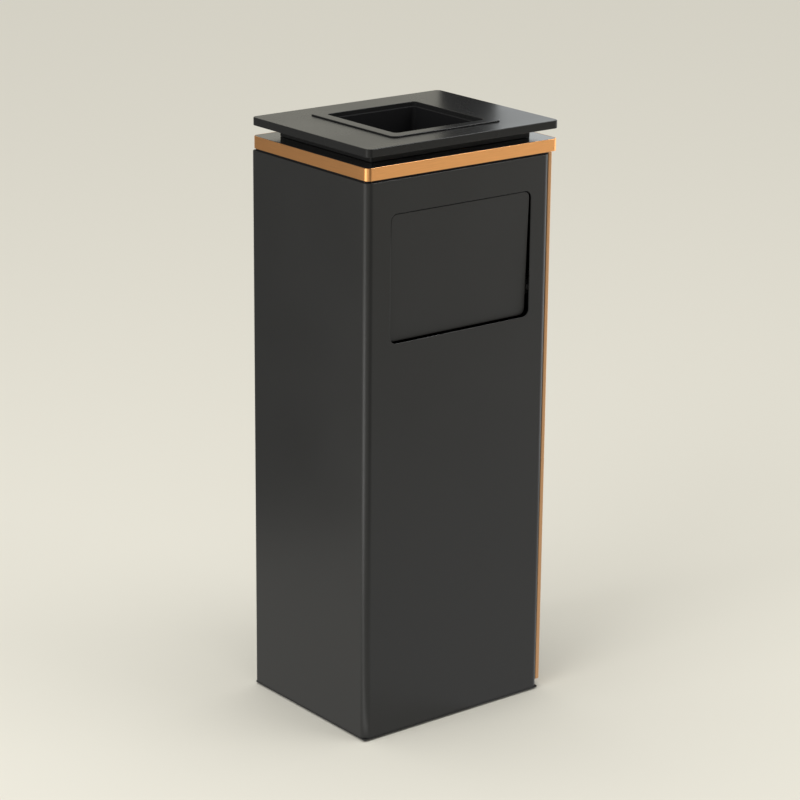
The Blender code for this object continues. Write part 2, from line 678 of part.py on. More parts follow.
def make_catches(swing):
    """Magnetic catches screwed to the shell's front return, and the steel plates in the door that they hold."""
    for place, height in CATCH_HEIGHTS.items():
        bottom = height - CATCH_HALF
        top = height + CATCH_HALF
        catch = block(f"magnet_catch_{place}", (CATCH_FACE - 11 * MM, FRONT_RETURN_END + GAP, bottom),
                      (CATCH_FACE, FRONT_RETURN_END + 11 * MM, top), corner=1 * MM, axis=2, segments=2)
        tab_face = SHELL_RIGHT - SHEET - GAP
        weld(catch, tool_block(f"catch_tab_{place}", (tab_face - 2.5 * MM, -90 * MM, height - 8 * MM),
                               (tab_face, FRONT_RETURN_END + 2 * MM, height + 8 * MM)))
        cut(catch, tool_rod(f"catch_screw_hole_{place}", (SHELL_RIGHT - 10 * MM, CATCH_SCREW_Y, height),
                            (SHELL_RIGHT + 5 * MM, CATCH_SCREW_Y, height), 1.6 * MM))
        finish(catch, "black_plastic")
        screw = rod(f"catch_screw_{place}", (tab_face - 4 * MM, CATCH_SCREW_Y, height),
                    (SHELL_RIGHT + 1 * MM, CATCH_SCREW_Y, height), 1.5 * MM, vertices=16)
        weld(screw, tool_rod(f"catch_screw_head_{place}", (SHELL_RIGHT + GAP, CATCH_SCREW_Y, height),
                             (SHELL_RIGHT + 1.8 * MM, CATCH_SCREW_Y, height), 2.7 * MM, vertices=16))
        finish(screw, "zinc")
        smooth(screw)

        face = CATCH_FACE + 0.6 * MM
        start_y = FRONT_RETURN_END + 3.4 * MM
        strike = block(f"strike_plate_{place}", (face, start_y, bottom),
                       (DOOR_FACE - SHEET - GAP, start_y + 12 * MM, top))
        cut(strike, tool_block(f"strike_hollow_{place}", (face + SHEET, start_y + SHEET, bottom - 1 * MM),
                               (DOOR_FACE, start_y + 12 * MM - SHEET, top + 1 * MM)))
        hang_on(swing, strike)
        finish(strike, "zinc")


# ---------------------------------------------------------------- lift-off top and ash cup

def make_top_plate():
    """Inverted tray with a square hole for the ash rim."""
    plate = centred("top_plate", PLATE_SIZE, PLATE_BOTTOM, PLATE_TOP, corner=PLATE_CORNER)
    pocket = (PLATE_SIZE[0] - 2 * SHEET, PLATE_SIZE[1] - 2 * SHEET)
    cut(plate, tool_centred("plate_pocket", pocket, PLATE_BOTTOM - 1 * MM, PLATE_TOP - SHEET,
                            corner=PLATE_CORNER - SHEET))
    cut(plate, tool_centred("plate_hole", (PLATE_HOLE, PLATE_HOLE), PLATE_BOTTOM, PLATE_TOP + 1 * MM,
                            corner=RIM_OPENING_CORNER))
    finish(plate, "black_top")
    smooth(plate)


def make_neck():
    """Collar under the plate. It stands on the deck, and its skirt drops into the deck's opening."""
    top = PLATE_TOP - SHEET - GAP
    rest = DECK_TOP + GAP
    neck = centred("neck_collar", NECK_SIZE, rest, top, corner=3 * MM)
    weld(neck, tool_centred("neck_skirt", NECK_SKIRT, rest - NECK_DROP, rest + SHEET / 2, corner=3 * MM))
    cut(neck, tool_centred("neck_hollow", (NECK_SIZE[0] - 2 * SHEET, NECK_SIZE[1] - 2 * SHEET), rest + SHEET,
                           top + 1 * MM, corner=2 * MM))
    cut(neck, tool_centred("neck_bore", (NECK_SKIRT[0] - 2 * SHEET, NECK_SKIRT[1] - 2 * SHEET),
                           rest - NECK_DROP - 1 * MM, top, corner=2 * MM))
    finish(neck, "black_coat")
    smooth(neck)


def make_ash_rim():
    """Square flange on the plate, with a short wall through it and a ledge that the cup's lip rests on."""
    rim = centred("ash_rim", (RIM_SIZE, RIM_SIZE), RIM_BOTTOM, RIM_TOP, corner=RIM_CORNER, segments=6)
    wall = RIM_OPENING + 2 * RIM_WALL
    weld(rim, tool_centred("rim_wall", (wall, wall), LEDGE_BOTTOM, RIM_TOP - RIM_THICK / 2,
                           corner=RIM_OPENING_CORNER))
    cut(rim, tool_centred("rim_opening", (RIM_OPENING, RIM_OPENING), LEDGE_BOTTOM + SHEET, RIM_TOP + 1 * MM,
                          corner=RIM_OPENING_CORNER))
    cut(rim, tool_centred("ledge_opening", (LEDGE_OPENING, LEDGE_OPENING), LEDGE_BOTTOM - 1 * MM, RIM_TOP,
                          corner=RIM_OPENING_CORNER))
    finish(rim, "black_top")
    smooth(rim)


def make_ash_cup():
    """Deep square cup that hangs by its lip and lifts out to be emptied."""
    lip_bottom = LEDGE_BOTTOM + SHEET + GAP
    cup = centred("ash_cup", (CUP_LIP_SIZE, CUP_LIP_SIZE), lip_bottom, lip_bottom + SHEET, corner=4.5 * MM)
    weld(cup, tool_centred("cup_body", (CUP_SIZE, CUP_SIZE), CUP_BOTTOM, lip_bottom + SHEET / 2, corner=5 * MM))
    inner = CUP_SIZE - 2 * SHEET
    cut(cup, tool_centred("cup_hollow", (inner, inner), CUP_BOTTOM + SHEET, lip_bottom + 2 * SHEET, corner=4 * MM))
    finish(cup, "black_liner")
    smooth(cup)


# ---------------------------------------------------------------- bucket

def make_bucket():
    bottom = BASE_BOTTOM + BASE_THICK + GAP
    taper = tuple(low / high for low, high in zip(BUCKET_BOTTOM_SIZE, BUCKET_TOP_SIZE))
    bucket = centred("inner_bucket", BUCKET_TOP_SIZE, bottom, BUCKET_TOP, corner=BUCKET_CORNER, taper=taper)
    rolled = tuple(side + 2 * RIM_ROLL[0] for side in BUCKET_TOP_SIZE)
    weld(bucket, tool_centred("bucket_rolled_rim", rolled, BUCKET_TOP - RIM_ROLL[1], BUCKET_TOP,
                              corner=BUCKET_CORNER + RIM_ROLL[0]))
    inside = tuple(side - 2 * BUCKET_SHEET for side in BUCKET_TOP_SIZE)
    cut(bucket, tool_centred("bucket_hollow", inside, bottom + BUCKET_SHEET, BUCKET_TOP + 1 * MM,
                             corner=BUCKET_CORNER - BUCKET_SHEET, taper=taper))
    finish(bucket, "bucket_steel")
    smooth(bucket)
    wall = BUCKET_TOP_SIZE[1] / 2
    for place, side in (("front", -1), ("rear", 1)):
        lug = rod(f"bail_lug_{place}", (0, side * (wall + GAP), BAIL_Z), (0, side * (wall + 4.3 * MM), BAIL_Z),
                  LUG_RADIUS)
        cut(lug, tool_rod(f"bail_lug_bore_{place}", (0, side * (wall - 3 * MM), BAIL_Z),
                          (0, side * (wall + 9 * MM), BAIL_Z), BAIL_WIRE + 0.1 * MM))
        finish(lug, "bucket_steel")
        smooth(lug)


def make_bail():
    """Wire handle with a plastic grip. Its ends turn in the lugs, and it lies on the bucket's rim."""
    hanger = pivot("bail_pivot", (0, 0, BAIL_Z))
    lie = math.asin((BUCKET_TOP + BAIL_WIRE + 0.4 * MM - BAIL_Z) / BAIL_REACH)
    hanger.rotation_euler.y = -lie
    end = BUCKET_TOP_SIZE[1] / 2 + 1 * MM
    half = bent_path([(0, end, 0), (0, BAIL_HALF_SPAN, 3 * MM), (BAIL_REACH, BAIL_HALF_SPAN, BAIL_BEND),
                      (BAIL_REACH, 0, 0)])
    route = half + [Vector((x, -y)) for x, y in reversed(half[:-1])]
    data = bpy.data.curves.new("bail_handle", "CURVE")
    data.dimensions = "3D"
    data.bevel_depth = BAIL_WIRE
    data.bevel_resolution = 2
    data.use_fill_caps = True
    spline = data.splines.new("POLY")
    spline.points.add(len(route) - 1)
    for point, (x, y) in zip(spline.points, route):
        point.co = (x, y, 0, 1)
    bail = bpy.data.objects.new("bail_handle", data)
    PARTS.objects.link(bail)
    bail.parent = hanger
    data.materials.append(material("bail_handle", *FINISHES["zinc"]))

    grip = rod("bail_grip", (BAIL_REACH, -GRIP_HALF, 0), (BAIL_REACH, GRIP_HALF, 0), GRIP_RADIUS)
    cut(grip, tool_rod("bail_grip_bore", (BAIL_REACH, -2 * GRIP_HALF, 0), (BAIL_REACH, 2 * GRIP_HALF, 0),
                       BAIL_WIRE + 0.2 * MM))
    settle(grip)
    grip.parent = hanger
    finish(grip, "black_plastic")
    smooth(grip)


make_shell()
make_base_plate()
make_feet()
make_top_frame()
make_gold_band()
make_deck()
make_deck_nuts()
make_flap_brackets()
make_flap()
door_swing = make_door()
make_hinges(door_swing)
make_catches(door_swing)
make_top_plate()
make_neck()
make_ash_rim()
make_ash_cup()
make_bucket()
make_bail()
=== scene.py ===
"""Looks of the lobby ash bin: finer sheet metal, procedural finishes, a pale floor, soft light and a camera.

Everything is in metres in the model's own frame: +Z up, the front facing -Y, the door on the +X side.
Pieces take their places and outer sizes from the boxes of the nodes that they stand for. The flap, the bail
and the smaller features that a box doesn't show have their sizes named here."""

import json
import math

import bmesh
import bpy
from mathutils import Matrix, Vector
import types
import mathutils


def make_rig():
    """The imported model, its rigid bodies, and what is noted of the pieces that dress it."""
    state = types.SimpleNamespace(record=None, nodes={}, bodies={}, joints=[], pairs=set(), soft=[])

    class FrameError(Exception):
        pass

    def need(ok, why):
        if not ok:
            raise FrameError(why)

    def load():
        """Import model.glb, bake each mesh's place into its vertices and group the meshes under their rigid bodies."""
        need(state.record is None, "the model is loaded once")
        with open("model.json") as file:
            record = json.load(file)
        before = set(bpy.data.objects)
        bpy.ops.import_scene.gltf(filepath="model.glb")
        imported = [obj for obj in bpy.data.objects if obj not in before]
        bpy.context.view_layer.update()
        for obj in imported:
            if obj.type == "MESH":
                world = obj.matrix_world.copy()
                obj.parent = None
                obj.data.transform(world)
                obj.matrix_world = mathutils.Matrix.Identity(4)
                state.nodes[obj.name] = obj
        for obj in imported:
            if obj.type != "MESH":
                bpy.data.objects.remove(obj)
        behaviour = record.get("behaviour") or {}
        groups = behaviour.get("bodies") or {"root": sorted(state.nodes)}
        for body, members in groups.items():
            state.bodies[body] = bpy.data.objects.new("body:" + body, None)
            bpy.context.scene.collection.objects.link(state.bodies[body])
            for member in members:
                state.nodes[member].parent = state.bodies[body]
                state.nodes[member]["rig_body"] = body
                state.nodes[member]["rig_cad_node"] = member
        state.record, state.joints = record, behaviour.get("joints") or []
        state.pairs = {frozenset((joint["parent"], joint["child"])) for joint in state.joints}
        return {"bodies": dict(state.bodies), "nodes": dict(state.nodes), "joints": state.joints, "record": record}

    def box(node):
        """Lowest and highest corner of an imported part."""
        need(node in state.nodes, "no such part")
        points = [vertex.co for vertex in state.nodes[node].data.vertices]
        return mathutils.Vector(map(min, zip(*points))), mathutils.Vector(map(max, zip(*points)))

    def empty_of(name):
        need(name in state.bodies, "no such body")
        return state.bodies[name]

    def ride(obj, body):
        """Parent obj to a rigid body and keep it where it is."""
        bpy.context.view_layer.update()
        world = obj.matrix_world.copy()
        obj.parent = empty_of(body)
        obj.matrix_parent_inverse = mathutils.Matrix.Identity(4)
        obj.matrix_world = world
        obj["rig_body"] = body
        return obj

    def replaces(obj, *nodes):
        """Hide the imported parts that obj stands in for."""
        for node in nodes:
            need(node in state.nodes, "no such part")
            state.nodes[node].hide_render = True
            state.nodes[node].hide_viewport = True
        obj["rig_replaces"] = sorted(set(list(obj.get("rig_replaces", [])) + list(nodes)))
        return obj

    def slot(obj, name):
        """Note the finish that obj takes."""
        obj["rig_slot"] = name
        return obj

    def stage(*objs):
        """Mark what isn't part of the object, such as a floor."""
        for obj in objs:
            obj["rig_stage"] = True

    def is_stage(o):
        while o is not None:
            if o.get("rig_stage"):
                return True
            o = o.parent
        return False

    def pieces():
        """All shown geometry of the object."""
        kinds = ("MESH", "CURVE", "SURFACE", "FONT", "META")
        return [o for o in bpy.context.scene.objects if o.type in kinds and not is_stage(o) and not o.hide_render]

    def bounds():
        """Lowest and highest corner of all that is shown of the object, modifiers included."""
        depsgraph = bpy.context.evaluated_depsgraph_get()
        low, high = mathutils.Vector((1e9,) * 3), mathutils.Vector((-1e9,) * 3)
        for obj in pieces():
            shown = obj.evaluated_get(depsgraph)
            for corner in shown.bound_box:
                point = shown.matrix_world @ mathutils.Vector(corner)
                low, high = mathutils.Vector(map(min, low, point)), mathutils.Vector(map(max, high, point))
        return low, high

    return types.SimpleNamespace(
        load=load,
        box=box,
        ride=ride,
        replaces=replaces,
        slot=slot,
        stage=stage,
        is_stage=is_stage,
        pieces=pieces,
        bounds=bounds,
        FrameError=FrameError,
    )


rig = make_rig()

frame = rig.load()
CAD_BOX = [list(corner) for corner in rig.bounds()]

MM = 0.001
SHEET = 1.2 * MM
SMALLEST_CORNER = 0.05 * MM

SCENE = bpy.context.scene


# ---------------------------------------------------------------- camera

def make_camera():
    """A long lens from the front left, looking down a little."""
    place = (-1.7464, -2.2137, 1.2161)
    yaw = math.radians(38.212)
    pitch = math.radians(17.463)
    roll = math.radians(0.513)
    data = bpy.data.cameras.new("camera")
    data.sensor_width = 36.0
    data.lens = 124.56
    camera = bpy.data.objects.new("camera", data)
    SCENE.collection.objects.link(camera)
    aim = Matrix.Rotation(-yaw, 4, "Z") @ Matrix.Rotation(math.pi / 2 - pitch, 4, "X")
    camera.matrix_world = Matrix.Translation(place) @ aim @ Matrix.Rotation(roll, 4, "Z")
    SCENE.camera = camera


make_camera()


# ---------------------------------------------------------------- node materials

class Recipe:
    """A material being built, with short calls for the nodes used here."""

    def __init__(self, name):
        self.material = bpy.data.materials.new(name)
        self.material.use_nodes = True
        self.tree = self.material.node_tree
        self.shader = self.tree.nodes["Principled BSDF"]
        self.place = self.tree.nodes.new("ShaderNodeTexCoord").outputs["Object"]

    def join(self, source, target):
        self.tree.links.new(source, target)

    def stretched(self, scale):
        """Object coordinates scaled along each axis, for grain that runs one way."""
        mapping = self.tree.nodes.new("ShaderNodeMapping")
        mapping.inputs["Scale"].default_value = scale
        self.join(self.place, mapping.inputs["Vector"])
        return mapping.outputs["Vector"]

    def noise(self, scale, detail=3.0, roughness=0.5, vector=None):
        node = self.tree.nodes.new("ShaderNodeTexNoise")
        node.inputs["Scale"].default_value = scale
        node.inputs["Detail"].default_value = detail
        node.inputs["Roughness"].default_value = roughness
        self.join(vector or self.place, node.inputs["Vector"])
        return node.outputs["Fac"]

    def cells(self, scale):
        """Cells of uneven shape, each with a colour of its own."""
        node = self.tree.nodes.new("ShaderNodeTexVoronoi")
        node.inputs["Scale"].default_value = scale
        self.join(self.place, node.inputs["Vector"])
        return node.outputs["Color"]

    def spread(self, source, low, high, from_low=0.3, from_high=0.7):
        """Maps a texture's middle range to low...high."""
        node = self.tree.nodes.new("ShaderNodeMapRange")
        node.inputs["From Min"].default_value = from_low
        node.inputs["From Max"].default_value = from_high
        node.inputs["To Min"].default_value = low
        node.inputs["To Max"].default_value = high
        self.join(source, node.inputs["Value"])
        return node.outputs["Result"]

    def bumps(self, *layers):
        """Stacks bump layers. Each is (height output, distance in metres, strength)."""
        normal = None
        for height, distance, strength in layers:
            node = self.tree.nodes.new("ShaderNodeBump")
            node.inputs["Strength"].default_value = strength
            node.inputs["Distance"].default_value = distance
            self.join(height, node.inputs["Height"])
            if normal:
                self.join(normal, node.inputs["Normal"])
            normal = node.outputs["Normal"]
        self.join(normal, self.shader.inputs["Normal"])

    def colour(self, factor, first, second):
        """The base colour runs from first to second with the factor."""
        node = self.tree.nodes.new("ShaderNodeMix")
        node.data_type = "RGBA"
        self.join(factor, node.inputs["Factor"])
        node.inputs["A"].default_value = (*first, 1.0)
        node.inputs["B"].default_value = (*second, 1.0)
        self.join(node.outputs["Result"], self.shader.inputs["Base Color"])

    def roughness(self, source):
        self.join(source, self.shader.inputs["Roughness"])

    def settings(self, **values):
        """Sets the shader's own sockets, named with _ for each space."""
        for name, value in values.items():
            self.shader.inputs[name.replace("_", " ")].default_value = value


def shade(colour, factor):
    return tuple(channel * factor for channel in colour)


def powder_coat(name, colour, gloss_low, gloss_high, grain=0.55, level=0.3):
    """Baked powder paint: a fine pebbled skin with slow changes of gloss and tone."""
    made = Recipe(name)
    fine = made.noise(1500, 2.0, 0.6)
    peel = made.noise(260, 2.0)
    slow = made.noise(9, 3.0)
    made.colour(made.spread(slow, 0.0, 1.0), shade(colour, 0.94), shade(colour, 1.06))
    made.roughness(made.spread(slow, gloss_low, gloss_high))
    made.bumps((fine, 0.03 * MM, grain), (peel, 0.03 * MM, 0.25))
    made.settings(Specular_IOR_Level=level)
    return made.material


def gold_finish(name, grain_scale, colour):
    """Satin copper-gold metal with a fine grain along the length of the piece."""
    made = Recipe(name)
    grain = made.noise(1.0, 2.0, 0.6, made.stretched(grain_scale))
    slow = made.noise(14, 2.0)
    made.colour(made.spread(grain, 0.0, 1.0), shade(colour, 0.95), shade(colour, 1.05))
    made.roughness(made.spread(slow, 0.30, 0.36))
    made.bumps((grain, 0.01 * MM, 0.20))
    made.settings(Metallic=1.0)
    return made.material


def galvanised(name):
    """Zinc-dipped steel: crystals of slightly different greys and gloss."""
    made = Recipe(name)
    crystals = made.cells(85)
    small = made.cells(190)
    blend = made.tree.nodes.new("ShaderNodeMix")
    blend.data_type = "RGBA"
    blend.inputs["Factor"].default_value = 0.35
    made.join(crystals, blend.inputs["A"])
    made.join(small, blend.inputs["B"])
    grey = made.tree.nodes.new("ShaderNodeRGBToBW")
    made.join(blend.outputs["Result"], grey.inputs["Color"])
    tone = grey.outputs["Val"]
    made.colour(made.spread(tone, 0.0, 1.0, 0.15, 0.85), (0.42, 0.44, 0.46), (0.66, 0.68, 0.69))
    made.roughness(made.spread(tone, 0.34, 0.52, 0.15, 0.85))
    made.bumps((made.noise(600, 2.0), 0.02 * MM, 0.15))
    made.settings(Metallic=1.0)
    return made.material


def plated(name):
    """Bright zinc plating on small hardware."""
    made = Recipe(name)
    cloud = made.noise(90, 2.0)
    made.colour(made.spread(cloud, 0.0, 1.0), (0.57, 0.58, 0.57), (0.63, 0.63, 0.61))
    made.roughness(made.spread(cloud, 0.28, 0.35))
    made.bumps((made.noise(1800, 2.0), 0.01 * MM, 0.1))
    made.settings(Metallic=1.0)
    return made.material


def moulded(name, colour, gloss_low, gloss_high, grain):
    """Moulded plastic or rubber with a faint spark-eroded texture."""
    made = Recipe(name)
    speckle = made.noise(1100, 3.0, 0.6)
    made.colour(made.spread(made.noise(30), 0.0, 1.0), shade(colour, 0.9), shade(colour, 1.1))
    made.roughness(made.spread(speckle, gloss_low, gloss_high))
    made.bumps((speckle, 0.03 * MM, grain))
    return made.material


# One material for each of the record's slots, and two looks within a slot: black_deck, and the strip's darker gold.
MATERIALS = {
    "black_coat": powder_coat("black_powder_coat", (0.0155, 0.0155, 0.0152), 0.34, 0.40),
    "black_top": powder_coat("black_satin_paint", (0.0135, 0.0135, 0.0135), 0.24, 0.30,
                             grain=0.25, level=0.18),
    "black_deck": powder_coat("black_gloss_paint", (0.0135, 0.0135, 0.013), 0.14, 0.20, grain=0.1, level=0.5),
    # A darker, duller black than the coat. In the cup it is partly the liner's own black and partly painted shade of
    # the deep well; on the top frame it is painted shade in the gap under the gold band.
    "black_liner": powder_coat("black_liner_enamel_and_painted_shade", (0.009, 0.009, 0.0095), 0.50, 0.60, level=0.08),
    "gold": gold_finish("copper_gold_satin", (40, 40, 1600), (0.80, 0.385, 0.145)),
    # The strip's gold is darker than the band's: painted shade, standing for the strip's edge lying in shade.
    "gold_strip_painted_shade": gold_finish("copper_gold_strip_painted_shade", (1600, 1600, 40), (0.46, 0.255, 0.125)),
    "zinc": plated("zinc_plating"),
    "bucket_steel": galvanised("galvanised_steel"),
    "rubber": moulded("black_rubber", (0.018, 0.018, 0.018), 0.70, 0.85, 0.5),
    "nylon": moulded("natural_nylon", (0.72, 0.70, 0.62), 0.42, 0.55, 0.2),
    "black_plastic": moulded("black_plastic", (0.022, 0.022, 0.023), 0.38, 0.50, 0.4),
}


# ---------------------------------------------------------------- mesh tools

def new_object(name, bm):
    mesh = bpy.data.meshes.new(name)
    bmesh.ops.recalc_face_normals(bm, faces=bm.faces)
    bm.to_mesh(mesh)
    bm.free()
    made = bpy.data.objects.new(name, mesh)
    SCENE.collection.objects.link(made)
    return made


def bake(piece):
    """Turns the modifiers into plain mesh."""
    bpy.context.view_layer.update()
    evaluated = piece.evaluated_get(bpy.context.evaluated_depsgraph_get())
    piece.data = bpy.data.meshes.new_from_object(evaluated)
    piece.modifiers.clear()


def soften(piece, width, segments=2):
    """Rounds the edges that turn by more than 28 degrees, and keeps the flat faces shading flat."""
    if width:
        bevel = piece.modifiers.new("edges", "BEVEL")
        bevel.width = width
        bevel.segments = segments
        bevel.limit_method = "ANGLE"
        bevel.angle_limit = math.radians(28)
        bevel.use_clamp_overlap = True
        bevel.miter_outer = "MITER_ARC"
    bake(piece)
    piece.data.shade_smooth()
    piece.data.set_sharp_from_angle(angle=math.radians(50))
    weighted = piece.modifiers.new("flat_shading", "WEIGHTED_NORMAL")
    weighted.keep_sharp = True
    weighted.weight = 80


def dress(piece, body, slot, *nodes, look=None):
    """Gives a finished piece its material, its body and the nodes it stands for.

    A look names a variant of the slot's own material."""
    piece.data.materials.clear()
    piece.data.materials.append(MATERIALS[look or slot])
    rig.ride(piece, body)
    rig.slot(piece, slot)
    if nodes:
        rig.replaces(piece, *nodes)
    return piece


def combine(piece, tool, operation):
    """Joins or cuts with a tool shape, and removes the tool."""
    modifier = piece.modifiers.new("combine", "BOOLEAN")
    modifier.operation = operation
    modifier.object = tool
    bake(piece)
    bpy.data.objects.remove(tool)


def outline(half_x, half_y, corner, steps=8):
    """Points round a rectangle with round corners, as many whatever its size."""
    points = []
    for quarter, (side_x, side_y) in enumerate(((1, 1), (-1, 1), (-1, -1), (1, -1))):
        for step in range(steps + 1):
            angle = math.pi / 2 * (quarter + step / steps)
            points.append((side_x * (half_x - corner) + corner * math.cos(angle),
                           side_y * (half_y - corner) + corner * math.sin(angle)))
    return points


def arc_between(before, here, after, radius, steps):
    """Points of the arc that rounds the corner at here."""
    back = (before - here).normalized()
    ahead = (after - here).normalized()
    half = back.angle(ahead) / 2
    centre = here + (back + ahead).normalized() * (radius / math.sin(half))
    first = here + back * (radius / math.tan(half)) - centre
    last = here + ahead * (radius / math.tan(half)) - centre
    sweep = first.angle_signed(last)
    return [centre + Matrix.Rotation(-sweep * step / steps, 2) @ first for step in range(steps + 1)]


def rings_of(stations, closed, steps):
    """Stations are (half_x, half_y, corner, z, fillet). Each fillet becomes a few rings along its arc."""
    rings = []
    for index, (half_x, half_y, corner, z, fillet) in enumerate(stations):
        at_end = not closed and index in (0, len(stations) - 1)
        if not fillet or at_end:
            rings.append((half_x, half_y, corner, z))
            continue
        before = stations[index - 1]
        after = stations[(index + 1) % len(stations)]
        arc = arc_between(Vector((before[0], before[3])), Vector((half_x, z)), Vector((after[0], after[3])),
                          fillet, steps)
        for point in arc:
            inset = half_x - point.x
            rings.append((half_x - inset, half_y - inset, max(corner - inset, SMALLEST_CORNER), point.y))
    return rings


def ring_mesh(stations, closed=True, corner_steps=8, fillet_steps=4, centre=(0, 0)):
    """A body swept round a rounded rectangle. An open one gets a flat face at each end."""
    bm = bmesh.new()
    loops = []
    for half_x, half_y, corner, z in rings_of(stations, closed, fillet_steps):
        points = outline(half_x, half_y, corner, corner_steps)
        loops.append([bm.verts.new((centre[0] + x, centre[1] + y, z)) for x, y in points])
    pairs = list(zip(loops, loops[1:]))
    if closed:
        pairs.append((loops[-1], loops[0]))
    for lower, upper in pairs:
        for index in range(len(lower)):
            after = (index + 1) % len(lower)
            bm.faces.new((lower[index], lower[after], upper[after], upper[index]))
    if not closed:
        bm.faces.new(loops[0])
        bm.faces.new(loops[-1])
    return bm


def swept_ring(name, stations, **options):
    return new_object(name, ring_mesh(stations, **options))


def bent_path(corners, steps=10):
    """Plan points along straight runs with round bends. Each corner is (x, y, bend radius)."""
    points = []
    for index, (x, y, radius) in enumerate(corners):
        here = Vector((x, y))
        if not radius:
            points.append(here)
            continue
        before = Vector(corners[index - 1][:2])
        after = Vector(corners[index + 1][:2])
        points += arc_between(before, here, after, radius, steps)
    return points


def folded_sheet(name, corners, bottom, top, thickness):
    """An upright folded sheet. Its outer face is on the path's left."""
    bm = bmesh.new()
    verts = [bm.verts.new((*point, bottom)) for point in bent_path(corners)]
    edges = [bm.edges.new(pair) for pair in zip(verts, verts[1:])]
    raised = bmesh.ops.extrude_edge_only(bm, edges=edges)["geom"]
    bmesh.ops.translate(bm, verts=[v for v in raised if isinstance(v, bmesh.types.BMVert)],
                        vec=(0, 0, top - bottom))
    bm.normal_update()
    run = verts[1].co - verts[0].co
    if edges[0].link_faces[0].normal.dot(Vector((-run.y, run.x, 0))) < 0:
        bmesh.ops.reverse_faces(bm, faces=bm.faces)
    mesh = bpy.data.meshes.new(name)
    bm.to_mesh(mesh)
    bm.free()
    sheet = bpy.data.objects.new(name, mesh)
    SCENE.collection.objects.link(sheet)
    solidify = sheet.modifiers.new("sheet", "SOLIDIFY")
    solidify.thickness = thickness
    solidify.offset = -1
    solidify.use_even_offset = True
    bake(sheet)
    return sheet


def box_object(name, low, high, corner=0.0, axis=2, steps=8):
    """A box, with its four edges along axis rounded."""
    low = Vector(low)
    high = Vector(high)
    size = high - low
    bm = bmesh.new()
    bmesh.ops.create_cube(bm, size=1.0)
    for vert in bm.verts:
        vert.co = (low + high) / 2 + Vector(side * length for side, length in zip(vert.co, size))
    if corner:
        long_edges = [e for e in bm.edges if abs((e.verts[0].co - e.verts[1].co)[axis]) > 0.9 * size[axis]]
        bmesh.ops.bevel(bm, geom=long_edges, offset=corner, segments=steps, profile=0.5, affect="EDGES")
    return new_object(name, bm)


def turned(name, profile, start, direction, steps=32):
    """A solid of revolution. The profile is (radius, distance along), from one flat end to the other."""
    axis = Vector(direction).normalized()
    turn = Vector((0, 0, 1)).rotation_difference(axis).to_matrix()
    bm = bmesh.new()
    loops = []
    for radius, along in profile:
        ring = []
        for step in range(steps):
            angle = 2 * math.pi * step / steps
            point = Vector((radius * math.cos(angle), radius * math.sin(angle), along))
            ring.append(bm.verts.new(Vector(start) + turn @ point))
        loops.append(ring)
    for lower, upper in zip(loops, loops[1:]):
        for index in range(steps):
            after = (index + 1) % steps
            bm.faces.new((lower[index], lower[after], upper[after], upper[index]))
    bm.faces.new(loops[0])
    bm.faces.new(loops[-1])
    return new_object(name, bm)


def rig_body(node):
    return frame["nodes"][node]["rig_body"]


def refined(node, slot, width, look=None):
    """The node's own shape, with its edges rounded like real folded or moulded stock."""
    bm = bmesh.new()
    bm.from_mesh(frame["nodes"][node].data)
    bmesh.ops.remove_doubles(bm, verts=bm.verts, dist=0.002 * MM)
    bmesh.ops.dissolve_limit(bm, angle_limit=math.radians(0.8), verts=bm.verts, edges=bm.edges)
    piece = new_object(f"{node}_piece", bm)
    soften(piece, width)
    dress(piece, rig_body(node), slot, node, look=look)


# ---------------------------------------------------------------- shared sizes

CORNERS = ("front_left", "front_right", "rear_left", "rear_right")
LEVELS = ("lower", "upper")
HINGE_AXIS = (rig.box("hinge_pin_lower")[0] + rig.box("hinge_pin_lower")[1]) / 2
ROD_AXIS = (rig.box("flap_rod")[0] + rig.box("flap_rod")[1]) / 2
FLAP_TILT = math.radians(1.9)
FLAP_LEFT = -94.3 * MM
FLAP_RIGHT = 87.0 * MM
FLAP_TOP = 564.6 * MM - ROD_AXIS.z
FLAP_BOTTOM = 431.0 * MM - ROD_AXIS.z
FLAP_LEFT_GAP = 0.7 * MM
FLAP_RIGHT_GAP = 1.9 * MM
FLAP_TOP_GAP = 0.4 * MM
FLAP_BOTTOM_GAP = 1.0 * MM
FLAP_CORNER = 7.3 * MM
RIVET_RISE = 0.9 * MM


def halves(node):
    """Half the node's width and depth, and its bottom and top."""
    low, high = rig.box(node)
    return (high.x - low.x) / 2, (high.y - low.y) / 2, low.z, high.z


def dome(radius, start, rise):
    """Profile points of a low round head, from its edge almost to its middle."""
    steps = 6
    angles = [math.pi / 2 * step / steps for step in range(steps)]
    return [(radius * math.cos(angle), start + rise * math.sin(angle)) for angle in angles]


# ---------------------------------------------------------------- cabinet

def make_shell():
    """One folded sheet: two narrow returns beside the door, round corners and the flap's opening."""
    low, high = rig.box("shell")
    doorway_half = 81 * MM
    front_bend = 8 * MM
    rear_bend = 4 * MM
    shell = folded_sheet("cabinet_shell", [
        (high.x, -doorway_half, 0),
        (high.x, low.y, front_bend),
        (low.x, low.y, front_bend),
        (low.x, high.y, rear_bend),
        (high.x, high.y, rear_bend),
        (high.x, doorway_half, 0),
    ], low.z, high.z, SHEET)
    through = 10 * MM
    bottom = ROD_AXIS.z + FLAP_BOTTOM - FLAP_BOTTOM_GAP
    top = ROD_AXIS.z + FLAP_TOP + FLAP_TOP_GAP
    opening = box_object("opening_tool", (FLAP_LEFT - FLAP_LEFT_GAP, low.y - through, bottom),
                         (FLAP_RIGHT + FLAP_RIGHT_GAP, low.y + through, top),
                         corner=FLAP_CORNER + FLAP_LEFT_GAP, axis=1, steps=10)
    combine(shell, opening, "DIFFERENCE")
    soften(shell, 0.5 * MM, segments=3)
    dress(shell, "cabinet", "black_coat", "shell")


